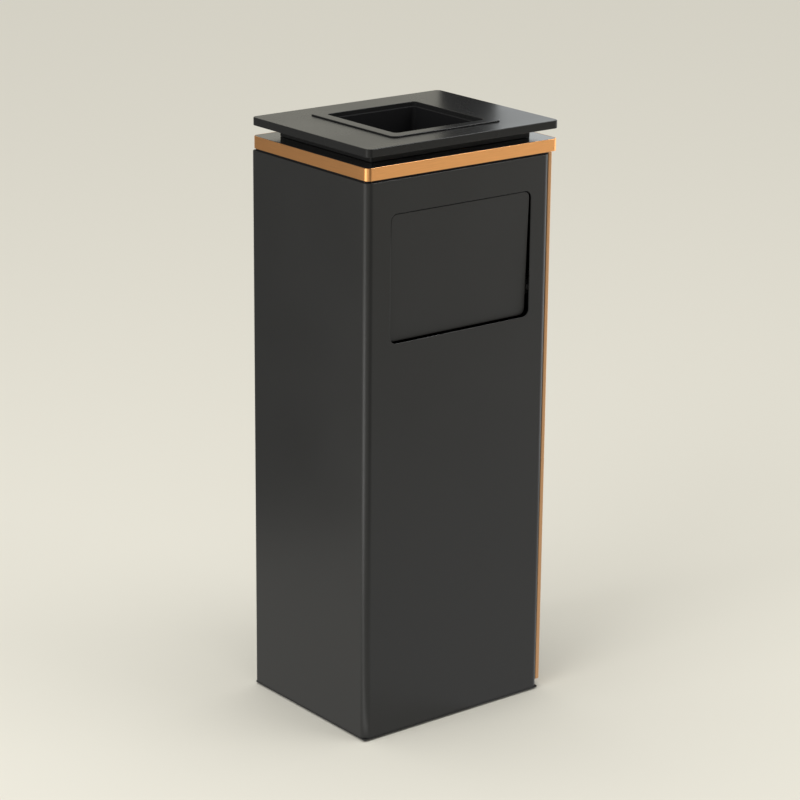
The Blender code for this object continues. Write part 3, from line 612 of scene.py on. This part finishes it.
def make_deck():
    """The gold band, the black deck inside it, and the weld studs under the deck."""
    low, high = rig.box("gold_band")
    middle = (low + high) / 2
    half = (high - low) / 2
    corner = 6 * MM
    wall = 0.7 * MM
    band = swept_ring("gold_band_piece", [
        (half.x, half.y, corner, low.z, 0.2 * MM),
        (half.x, half.y, corner, high.z, 0.4 * MM),
        (half.x - wall, half.y - wall, corner - wall, high.z, 0.15 * MM),
        (half.x - wall, half.y - wall, corner - wall, low.z, 0.15 * MM),
    ], corner_steps=14, fillet_steps=5, centre=(middle.x, middle.y))
    soften(band, 0)
    dress(band, "cabinet", "gold", "gold_band")
    low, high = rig.box("deck")
    middle = (low + high) / 2
    half = (high - low) / 2
    corner = 5 * MM
    hole = (101.5 * MM, 75.5 * MM, 4 * MM)
    top = high.z
    bottom = top - SHEET
    deck = swept_ring("black_deck", [
        (half.x, half.y, corner, bottom, 0.2 * MM),
        (half.x, half.y, corner, top, 0.25 * MM),
        (*hole, top, 0.3 * MM),
        (*hole, bottom, 0.2 * MM),
    ], corner_steps=14, fillet_steps=5, centre=(middle.x, middle.y))
    soften(deck, 0)
    dress(deck, "cabinet", "black_top", "deck", look="black_deck")
    stud_end = 605.1 * MM
    radius = 2 * MM
    for place in CORNERS:
        low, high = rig.box(f"deck_nut_{place}")
        middle = (low + high) / 2
        stud = turned(f"deck_stud_{place}",
                      [(radius - 0.6 * MM, 0), (radius, 0.6 * MM), (radius, bottom - stud_end)],
                      (middle.x, middle.y, stud_end), (0, 0, 1))
        soften(stud, 0)
        dress(stud, "cabinet", "zinc")
        refined(f"deck_nut_{place}", "zinc", 0.3 * MM)


def make_feet():
    for place in CORNERS:
        low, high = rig.box(f"foot_{place}")
        middle = (low + high) / 2
        radius = (high.x - low.x) / 2
        foot = turned(f"rubber_foot_{place}", [(radius - 0.8 * MM, 0), (radius - 0.2 * MM, 0.15 * MM),
                                               (radius, 0.6 * MM), (radius, high.z)],
                      (middle.x, middle.y, 0), (0, 0, 1), steps=48)
        soften(foot, 0)
        dress(foot, "cabinet", "rubber", f"foot_{place}")


# ---------------------------------------------------------------- push flap

def make_flap():
    """A pressed tray with round corners, its ears hung on the rod and a stop tab on each side.

    It is drawn upright about the rod, then tilted."""
    middle_x = (FLAP_LEFT + FLAP_RIGHT) / 2
    middle_z = (FLAP_TOP + FLAP_BOTTOM) / 2
    half_x = (FLAP_RIGHT - FLAP_LEFT) / 2
    half_z = (FLAP_TOP - FLAP_BOTTOM) / 2
    face = 5.2 * MM
    back = face - 15.8 * MM
    flat = (half_x - 12 * MM, half_z - 12 * MM, 4 * MM)
    inside = (half_x - SHEET, half_z - SHEET, FLAP_CORNER - SHEET)
    outside = (half_x, half_z, FLAP_CORNER)
    panel = swept_ring("push_flap", [
        (*flat, face - SHEET, 0),
        (*inside, face - SHEET, 0.6 * MM),
        (*inside, back, 0.3 * MM),
        (*outside, back, 0.3 * MM),
        (*outside, face, 0.8 * MM),
        (*flat, face, 0),
    ], closed=False, corner_steps=10, fillet_steps=5, centre=(middle_x, middle_z))
    panel.data.transform(Matrix.Rotation(math.pi / 2, 4, "X"))
    ear = 3.9 * MM
    ear_bottom = FLAP_TOP - 16 * MM
    tab_bottom = -119.5 * MM
    tab_top = -104.5 * MM
    tab_reach = 9 * MM
    flush = 0.02 * MM
    for outer, outward in ((FLAP_LEFT, -1), (FLAP_RIGHT, 1)):
        start, end = sorted((outer - outward * flush, outer - outward * (SHEET - flush)))
        combine(panel, box_object("ear_tool", (start, -ear, ear_bottom), (end, ear, ear),
                                  corner=0.97 * ear, axis=0), "UNION")
        start, end = sorted((outer - outward * SHEET / 2, outer + outward * tab_reach))
        combine(panel, box_object("tab_tool", (start, -SHEET, tab_bottom), (end, 0, tab_top),
                                  corner=2 * MM, axis=1), "UNION")
    bore_radius = 1.6 * MM
    past = 10 * MM
    bore = turned("bore_tool", [(bore_radius, 0), (bore_radius, FLAP_RIGHT - FLAP_LEFT + 2 * past)],
                  (FLAP_LEFT - past, 0, 0), (1, 0, 0))
    combine(panel, bore, "DIFFERENCE")
    soften(panel, 0)
    hang = Matrix.Translation((0, ROD_AXIS.y, ROD_AXIS.z))
    panel.data.transform(hang @ Matrix.Rotation(FLAP_TILT, 4, "X"))
    dress(panel, "flap", "black_coat", "flap_panel")


def make_flap_hardware():
    low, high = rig.box("flap_rod")
    length = high.x - low.x
    radius = 1.5 * MM
    chamfer = 0.3 * MM
    bar = turned("flap_hinge_rod", [(radius - chamfer, 0), (radius, chamfer), (radius, length - chamfer),
                                    (radius - chamfer, length)], (low.x, ROD_AXIS.y, ROD_AXIS.z), (1, 0, 0))
    soften(bar, 0)
    dress(bar, "flap", "zinc", "flap_rod")
    for side in ("left", "right"):
        refined(f"flap_bracket_{side}", "black_coat", 0.25 * MM)
        refined(f"flap_bush_{side}", "nylon", 0.2 * MM)
        refined(f"rod_clip_{side}", "zinc", 0.12 * MM)
        refined(f"stop_buffer_{side}", "rubber", 0.35 * MM)


# ---------------------------------------------------------------- side door

def make_door():
    """A folded panel with returns at its ends, and the strip wrapped round its front edge."""
    low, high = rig.box("door_panel")
    strip_low, strip_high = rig.box("pull_strip")
    wrap_end = strip_low.y + 10 * MM
    joggle = 1.3 * MM
    panel = folded_sheet("side_door", [
        (low.x, high.y, 0),
        (high.x, high.y, 2 * MM),
        (high.x, wrap_end + 1.6 * MM, 0),
        (high.x - joggle, wrap_end + 0.4 * MM, 0),
        (high.x - joggle, low.y, 0),
    ], low.z, high.z, SHEET)
    for bottom in (low.z, high.z - SHEET):
        combine(panel, box_object("return_tool", (low.x, wrap_end + 2 * MM, bottom),
                                  (high.x - SHEET / 2, high.y - SHEET / 2, bottom + SHEET)), "UNION")
    for place in LEVELS:
        leaf_low, leaf_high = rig.box(f"hinge_moving_leaf_{place}")
        window_low = (high.x - SHEET - 2.2 * MM, high.y - 3 * MM, leaf_low.z - 1 * MM)
        window_high = (high.x - SHEET, high.y + 3 * MM, leaf_high.z + 1 * MM)
        combine(panel, box_object("window_tool", window_low, window_high), "DIFFERENCE")
    soften(panel, 0.25 * MM)
    dress(panel, "door", "black_coat", "door_panel")

    bend = 1.2 * MM
    strip = folded_sheet("gold_pull_strip", [
        (high.x, wrap_end, 0),
        (high.x, strip_low.y, bend),
        (strip_low.x, strip_low.y, bend),
        (strip_low.x, strip_low.y + 9 * MM, 0),
    ], strip_low.z, strip_high.z, 1.0 * MM)
    soften(strip, 0.2 * MM)
    # The strip takes the darker gold, which is painted shade.
    dress(strip, "door", "gold", "pull_strip", look="gold_strip_painted_shade")


def rivet_profile(tail, length, head, radius):
    """Blind rivet: an upset tail, a shank and a low domed head."""
    return [(tail - 0.5 * MM, 0), (tail, 0.4 * MM), (tail, 1.2 * MM), (radius, 1.6 * MM), (radius, length),
            *dome(head, length, RIVET_RISE), (0.25 * head, length + RIVET_RISE - 0.02 * MM)]


def make_hinges():
    for place in LEVELS:
        refined(f"hinge_fixed_leaf_{place}", "zinc", 0.2 * MM)
        refined(f"hinge_moving_leaf_{place}", "zinc", 0.2 * MM)
        low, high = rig.box(f"hinge_pin_{place}")
        length = high.z - low.z
        pin = turned(f"hinge_pin_piece_{place}", [
            (1.1 * MM, 0), (1.5 * MM, 0.4 * MM), (1.5 * MM, length - 1.3 * MM), (2.2 * MM, length - 1.2 * MM),
            (2.4 * MM, length - 0.8 * MM), (2.2 * MM, length - 0.4 * MM), (1.4 * MM, length)],
            (HINGE_AXIS.x, HINGE_AXIS.y, low.z), (0, 0, 1))
        soften(pin, 0)
        dress(pin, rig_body(f"hinge_pin_{place}"), "zinc", f"hinge_pin_{place}")
        for end in ("bottom", "top"):
            node = f"hinge_rivet_{place}_{end}"
            low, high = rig.box(node)
            middle = (low + high) / 2
            length = high.x - low.x - RIVET_RISE
            profile = rivet_profile(tail=2.3 * MM, length=length, head=2.8 * MM, radius=1.6 * MM)
            rivet = turned(f"{node}_piece", profile, (low.x, middle.y, middle.z), (1, 0, 0))
            soften(rivet, 0)
            dress(rivet, "cabinet", "zinc", node)


def make_catches():
    """Magnetic catches with steel pole plates, their cross-head screws, and the strike plates in the door."""
    for place in LEVELS:
        refined(f"magnet_catch_{place}", "black_plastic", 0.5 * MM)
        refined(f"strike_plate_{place}", "zinc", 0.25 * MM)
        low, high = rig.box(f"magnet_catch_{place}")
        depth = 6 * MM
        proud = 0.25 * MM
        margin = 4 * MM
        thickness = 1.4 * MM
        for index, from_edge in enumerate((8.0 * MM, 3.6 * MM)):
            start = high.y - from_edge
            pole = box_object(f"catch_pole_{place}_{index}", (high.x - depth, start, low.z + margin),
                              (high.x + proud, start + thickness, high.z - margin))
            soften(pole, 0.15 * MM)
            dress(pole, "cabinet", "zinc")
        node = f"catch_screw_{place}"
        low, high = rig.box(node)
        middle = (low + high) / 2
        length = high.x - low.x
        shank = 1.5 * MM
        head = 2.7 * MM
        rise = 1.2 * MM
        screw = turned(f"{node}_piece", [(0.9 * MM, 0), (shank, 0.6 * MM), (shank, length - 1.5 * MM),
                                         (head, length - 1.45 * MM), *dome(head, length - rise, rise),
                                         (0.3 * head, length - 0.03 * MM)],
                       (low.x, middle.y, middle.z), (1, 0, 0))
        narrow = 0.55 * MM
        long = 2.9 * MM
        for wide, tall in ((narrow, long), (long, narrow)):
            slot_low = (high.x - 0.7 * MM, middle.y - wide / 2, middle.z - tall / 2)
            slot_high = (high.x + 1 * MM, middle.y + wide / 2, middle.z + tall / 2)
            combine(screw, box_object("cross_tool", slot_low, slot_high), "DIFFERENCE")
        soften(screw, 0)
        dress(screw, "cabinet", "zinc", node)


# ---------------------------------------------------------------- lift-off top and ash cup

def make_top_plate():
    """A plate with its edges folded down, and a square hole for the rim."""
    half_x, half_y, bottom, top = halves("top_plate")
    corner = 6 * MM
    outside = (half_x, half_y, corner)
    inside = (half_x - SHEET, half_y - SHEET, corner - SHEET)
    hole = (61.5 * MM, 61.5 * MM, 5 * MM)
    plate = swept_ring("top_cover_plate", [
        (*outside, bottom, 0.5 * MM),
        (*outside, top, 0.9 * MM),
        (*hole, top, 0.3 * MM),
        (*hole, top - SHEET, 0.2 * MM),
        (*inside, top - SHEET, 0.4 * MM),
        (*inside, bottom, 0.3 * MM),
    ], corner_steps=12, fillet_steps=5)
    soften(plate, 0)
    dress(plate, "top", "black_top", "top_plate")


def make_neck():
    """A collar that rests on the deck, and a narrower skirt that locates it in the deck's hole."""
    half_x, half_y, bottom, top = halves("neck_collar")
    rest = bottom + 10 * MM
    skirt_x = half_x - 3.8 * MM
    skirt_y = half_y - 3.8 * MM
    outside = (half_x, half_y, 3 * MM)
    inside = (half_x - SHEET, half_y - SHEET, 2 * MM)
    skirt_outside = (skirt_x, skirt_y, 3 * MM)
    skirt_inside = (skirt_x - SHEET, skirt_y - SHEET, 2 * MM)
    neck = swept_ring("neck_collar_piece", [
        (*outside, rest, 0.4 * MM),
        (*outside, top, 0.3 * MM),
        (*inside, top, 0.3 * MM),
        (*inside, rest + SHEET, 0.4 * MM),
        (*skirt_inside, rest + SHEET, 0.4 * MM),
        (*skirt_inside, bottom, 0.3 * MM),
        (*skirt_outside, bottom, 0.3 * MM),
        (*skirt_outside, rest, 0.3 * MM),
    ])
    soften(neck, 0)
    dress(neck, "top", "black_coat", "neck_collar")


def make_ash_rim():
    """A square frame: a flange on the plate, a wall down through it, and a ledge that holds the cup."""
    half, _, bottom, top = halves("ash_rim")
    flange = (half, half, 6.5 * MM)
    wall_outside = (60 * MM, 60 * MM, 5 * MM)
    wall_inside = (58.5 * MM, 58.5 * MM, 5 * MM)
    ledge_inside = (56 * MM, 56 * MM, 5 * MM)
    under = top - 1.4 * MM
    ledge = bottom + SHEET
    rim = swept_ring("ash_rim_piece", [
        (*flange, under, 0.3 * MM),
        (*flange, top, 0.8 * MM),
        (*wall_inside, top, 0.6 * MM),
        (*wall_inside, ledge, 0.3 * MM),
        (*ledge_inside, ledge, 0.3 * MM),
        (*ledge_inside, bottom, 0.3 * MM),
        (*wall_outside, bottom, 0.3 * MM),
        (*wall_outside, under, 0.2 * MM),
    ], corner_steps=12)
    soften(rim, 0)
    dress(rim, "top", "black_top", "ash_rim")


def make_ash_cup():
    """Pressed cup with a flat lip and round inner corners."""
    half, _, bottom, top = halves("ash_cup")
    lip = (half, half, 4.5 * MM)
    outside = (55 * MM, 55 * MM, 5 * MM)
    inside = (53.8 * MM, 53.8 * MM, 4 * MM)
    flat = (42 * MM, 42 * MM, 3 * MM)
    cup = swept_ring("ash_cup_piece", [
        (*flat, bottom + SHEET, 0),
        (*inside, bottom + SHEET, 3.0 * MM),
        (*inside, top, 0.4 * MM),
        (*lip, top, 0.4 * MM),
        (*lip, top - SHEET, 0.3 * MM),
        (*outside, top - SHEET, 0.4 * MM),
        (*outside, bottom, 4.0 * MM),
        (*flat, bottom, 0),
    ], closed=False)
    soften(cup, 0)
    dress(cup, "cup", "black_liner", "ash_cup")


# ---------------------------------------------------------------- bucket and bail

def make_bucket():
    """Tapered pail with a rolled rim and two swaged beads."""
    rim_x, rim_y, bottom, top = halves("inner_bucket")
    sheet = 1.0 * MM
    roll = 2.2 * MM
    roll_bottom = top - 5 * MM
    wall_x = rim_x - roll
    wall_y = rim_y - roll
    corner = 14 * MM
    taper = 4 * MM
    upper_bead = 296 * MM
    lower_bead = 34 * MM

    def wall(z, proud, fillet):
        """A station on the tapered outer wall at height z, or proud of it."""
        inset = taper * (top - z) / (top - bottom) - proud
        return (wall_x - inset, wall_y - inset, corner - inset, z, fillet)

    def bead(z):
        """A rounded swage that stands proud of the wall."""
        proud = 1.2 * MM
        return [wall(z + 3.0 * MM, 0, 1.5 * MM), wall(z + 1.0 * MM, proud, 0.8 * MM),
                wall(z - 1.0 * MM, proud, 0.8 * MM), wall(z - 3.0 * MM, 0, 1.5 * MM)]

    outer = [wall(roll_bottom, 0, 0.4 * MM), *bead(upper_bead), *bead(lower_bead), wall(bottom, 0, 5 * MM)]
    inner = [(x - sheet, y - sheet, round_corner - sheet, z if z > bottom else bottom + sheet, fillet)
             for x, y, round_corner, z, fillet in reversed(outer[1:])]
    flat = (wall_x - 22 * MM, wall_y - 22 * MM, 6 * MM)
    rim = (rim_x, rim_y, corner + roll)
    pail = swept_ring("galvanised_bucket", [
        (*flat, bottom + sheet, 0),
        *inner,
        (wall_x - sheet, wall_y - sheet, corner - sheet, top, 0.8 * MM),
        (*rim, top, 1.9 * MM),
        (*rim, roll_bottom, 1.9 * MM),
        *outer,
        (*flat, bottom, 0),
    ], closed=False, corner_steps=10, fillet_steps=5)
    soften(pail, 0)
    dress(pail, "cabinet", "bucket_steel", "inner_bucket")
    for place in ("front", "rear"):
        refined(f"bail_lug_{place}", "bucket_steel", 0.6 * MM)


def wire_object(name, route, radius):
    """A round wire along a flat route."""
    data = bpy.data.curves.new(f"{name}_curve", "CURVE")
    data.dimensions = "3D"
    data.bevel_depth = radius
    data.bevel_resolution = 5
    data.use_fill_caps = True
    spline = data.splines.new("POLY")
    spline.points.add(len(route) - 1)
    for point, (x, y) in zip(spline.points, route):
        point.co = (x, y, 0, 1)
    curve = bpy.data.objects.new(f"{name}_curve", data)
    SCENE.collection.objects.link(curve)
    bpy.context.view_layer.update()
    mesh = bpy.data.meshes.new_from_object(curve.evaluated_get(bpy.context.evaluated_depsgraph_get()))
    bpy.data.objects.remove(curve)
    made = bpy.data.objects.new(name, mesh)
    SCENE.collection.objects.link(made)
    return made


def grip_profile(radius, length):
    """A moulded grip with rounded ends and a row of shallow grooves."""
    grooves = 9
    spacing = 7 * MM
    depth = 0.7 * MM
    half_width = 1.6 * MM
    half_floor = 0.9 * MM
    profile = [(radius - 2.5 * MM, 0), (radius - 0.8 * MM, 0.4 * MM), (radius, 1.6 * MM)]
    for groove in range(grooves):
        middle = length / 2 + (groove - (grooves - 1) / 2) * spacing
        profile += [(radius, middle - half_width), (radius - depth, middle - half_floor),
                    (radius - depth, middle + half_floor), (radius, middle + half_width)]
    profile += [(radius, length - 1.6 * MM), (radius - 0.8 * MM, length - 0.4 * MM),
                (radius - 2.5 * MM, length)]
    return profile


def make_bail():
    """Bent wire with a grooved grip, lying on the bucket's rim."""
    pivot_z = 322 * MM
    rim_top = 336 * MM
    wire = 2 * MM
    clearance = 0.4 * MM
    reach = 86 * MM
    half_span = 77 * MM
    inner_end = 71 * MM
    grip_half = 42 * MM
    lie = math.asin((rim_top + wire + clearance - pivot_z) / reach)
    place = Matrix.Translation((0, 0, pivot_z)) @ Matrix.Rotation(-lie, 4, "Y")
    half = bent_path([
        (0, inner_end, 0),
        (0, half_span, 3 * MM),
        (reach, half_span, 10 * MM),
        (reach, 0, 0),
    ], steps=12)
    other_half = [Vector((x, -y)) for x, y in reversed(half[:-1])]
    bail = wire_object("bail_wire", half + other_half, wire)
    bail.data.transform(place)
    soften(bail, 0)
    dress(bail, "bail", "zinc", "bail_handle")

    profile = grip_profile(7.5 * MM, 2 * grip_half)
    grip = turned("bail_grip_piece", profile, (reach, -grip_half, 0), (0, 1, 0), steps=40)
    grip.data.transform(place)
    soften(grip, 0)
    dress(grip, "bail", "black_plastic", "bail_grip")


# ---------------------------------------------------------------- stage and light

def make_floor():
    bm = bmesh.new()
    bmesh.ops.create_grid(bm, x_segments=1, y_segments=1, size=60)
    floor = new_object("floor", bm)
    made = Recipe("pale_floor")
    made.settings(Base_Color=(0.655, 0.635, 0.565, 1.0), Roughness=0.6, Specular_IOR_Level=0.0)
    floor.data.materials.append(made.material)
    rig.stage(floor)


def area_light(name, place, target, size, energy):
    """A large soft lamp. It lights the surfaces, and isn't seen in reflections."""
    data = bpy.data.lights.new(name, "AREA")
    data.shape = "RECTANGLE"
    data.size, data.size_y = size
    data.energy = energy
    lamp = bpy.data.objects.new(name, data)
    SCENE.collection.objects.link(lamp)
    lamp.location = place
    lamp.rotation_euler = (Vector(target) - Vector(place)).to_track_quat("-Z", "Y").to_euler()
    lamp.visible_camera = False
    lamp.visible_glossy = False


def sun_light(name, energy, softness):
    """An overhead sun, as soft as a bright ceiling. Softness is its angle in degrees."""
    data = bpy.data.lights.new(name, "SUN")
    data.energy = energy
    data.angle = math.radians(softness)
    lamp = bpy.data.objects.new(name, data)
    SCENE.collection.objects.link(lamp)
    lamp.visible_glossy = False


def glow_only(name, bm, radiance):
    """A reflector card: glossy surfaces see it, and nothing else does."""
    card = new_object(name, bm)
    made = Recipe(name)
    made.settings(Base_Color=(0, 0, 0, 1), Specular_IOR_Level=0.0, Emission_Color=(*radiance, 1.0),
                  Emission_Strength=1.0)
    card.data.materials.append(made.material)
    card.visible_camera = False
    card.visible_diffuse = False
    card.visible_transmission = False
    card.visible_volume_scatter = False
    card.visible_shadow = False
    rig.stage(card)


def upright_card(name, azimuth, distance, sides, heights, radiance):
    """Faces the bin from an azimuth in degrees, counted from the front towards the door side.

    It stands at the distance from the origin. Sides are its two ends, along X at azimuth 0, and heights are
    its bottom and top."""
    bm = bmesh.new()
    corners = [(sides[0], heights[0]), (sides[1], heights[0]), (sides[1], heights[1]), (sides[0], heights[1])]
    bm.faces.new([bm.verts.new((x, -distance, z)) for x, z in corners])
    bmesh.ops.rotate(bm, verts=bm.verts, matrix=Matrix.Rotation(math.radians(azimuth), 3, "Z"))
    glow_only(name, bm, radiance)


def floor_card(name, place, radii, radiance):
    """An ellipse just above the floor."""
    bm = bmesh.new()
    bmesh.ops.create_circle(bm, cap_ends=True, segments=48, radius=1.0)
    bmesh.ops.scale(bm, verts=bm.verts, vec=(*radii, 1.0))
    bmesh.ops.translate(bm, verts=bm.verts, vec=place)
    glow_only(name, bm, radiance)


def ceiling_card(name, place, half, radiance):
    """A square card above the bin and to one side, turned to face it."""
    bm = bmesh.new()
    bmesh.ops.create_grid(bm, x_segments=1, y_segments=1, size=half)
    turn = (Vector((0, 0, 0.6)) - Vector(place)).to_track_quat("Z", "Y").to_matrix().to_4x4()
    bmesh.ops.transform(bm, matrix=Matrix.Translation(place) @ turn, verts=bm.verts)
    glow_only(name, bm, radiance)


def make_light():
    """A dim even room, two large lamps and a soft overhead sun."""
    world = bpy.data.worlds.new("soft_room")
    world.use_nodes = True
    room = world.node_tree.nodes["Background"]
    room.inputs["Color"].default_value = (0.88, 0.87, 0.83, 1.0)
    room.inputs["Strength"].default_value = 0.50
    SCENE.world = world
    SCENE.view_settings.view_transform = "Standard"
    middle = (0, 0, 0.35)
    area_light("key", (-3.0, -0.5, 1.9), middle, (2.4, 2.4), 62)
    area_light("fill", (1.9, -2.6, 2.6), middle, (2.4, 2.4), 27)
    sun_light("overhead", 1.65, 70)


def make_cards():
    """What the paint, the gold and the zinc reflect: the floor, uprights round the bin, and the ceiling."""
    floor_card("floor_card", (0, 0, 0.5 * MM), (2.2, 2.2), (0.80, 0.79, 0.74))
    floor_card("front_floor_card", (0.33, -0.47, 1.0 * MM), (0.48, 0.48), (1.0, 1.0, 0.98))
    floor_card("corner_floor_card", (-0.35, -0.125, 1.5 * MM), (0.23, 0.035), (2.6, 2.6, 2.5))
    upright_card("corner_glow_card", -84, 0.6, (-0.13, 0.13), (0, 0.36), (4.6, 4.6, 4.5))
    upright_card("upper_corner_glow_card", -84, 0.6, (-0.13, 0.13), (0.36, 1.0), (2.5, 2.5, 2.4))
    upright_card("corner_dark_card", -12, 0.7, (-0.22, 0.22), (0, 1.0), (0.15, 0.15, 0.15))
    upright_card("left_dark_card", -142, 0.5, (-0.25, 0.25), (0.05, 1.0), (0.31, 0.31, 0.30))
    upright_card("wall_card", 142, 0.28, (-0.04, 0.5), (0.612, 1.6), (0.78, 0.76, 0.66))
    upright_card("column_card", 142, 0.27, (-0.105, -0.04), (0.612, 1.6), (0.04, 0.04, 0.04))
    upright_card("glass_card", 142, 0.28, (-0.6, -0.105), (0.612, 1.6), (1.33, 1.38, 1.38))
    upright_card("right_glow_card", 70, 0.6, (-0.16, 0.20), (0.12, 1.2), (2.0, 2.0, 2.0))
    ceiling_card("ceiling_card", (0.80, -0.39, 1.74), 0.3, (14.0, 14.0, 14.0))


make_shell()
refined("base_plate", "black_coat", 0.25 * MM)
# The top frame takes the liner's darker black as painted shade in the gap under the gold band.
refined("top_frame", "black_coat", 0.25 * MM, look="black_liner")
make_deck()
make_feet()
make_flap()
make_flap_hardware()
make_door()
make_hinges()
make_catches()
make_top_plate()
make_neck()
make_ash_rim()
make_ash_cup()
make_bucket()
make_bail()
make_floor()
make_light()
make_cards()

with open("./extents.json", "w") as size_file:
    json.dump({"cad": CAD_BOX, "visual": [list(corner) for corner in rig.bounds()]}, size_file)
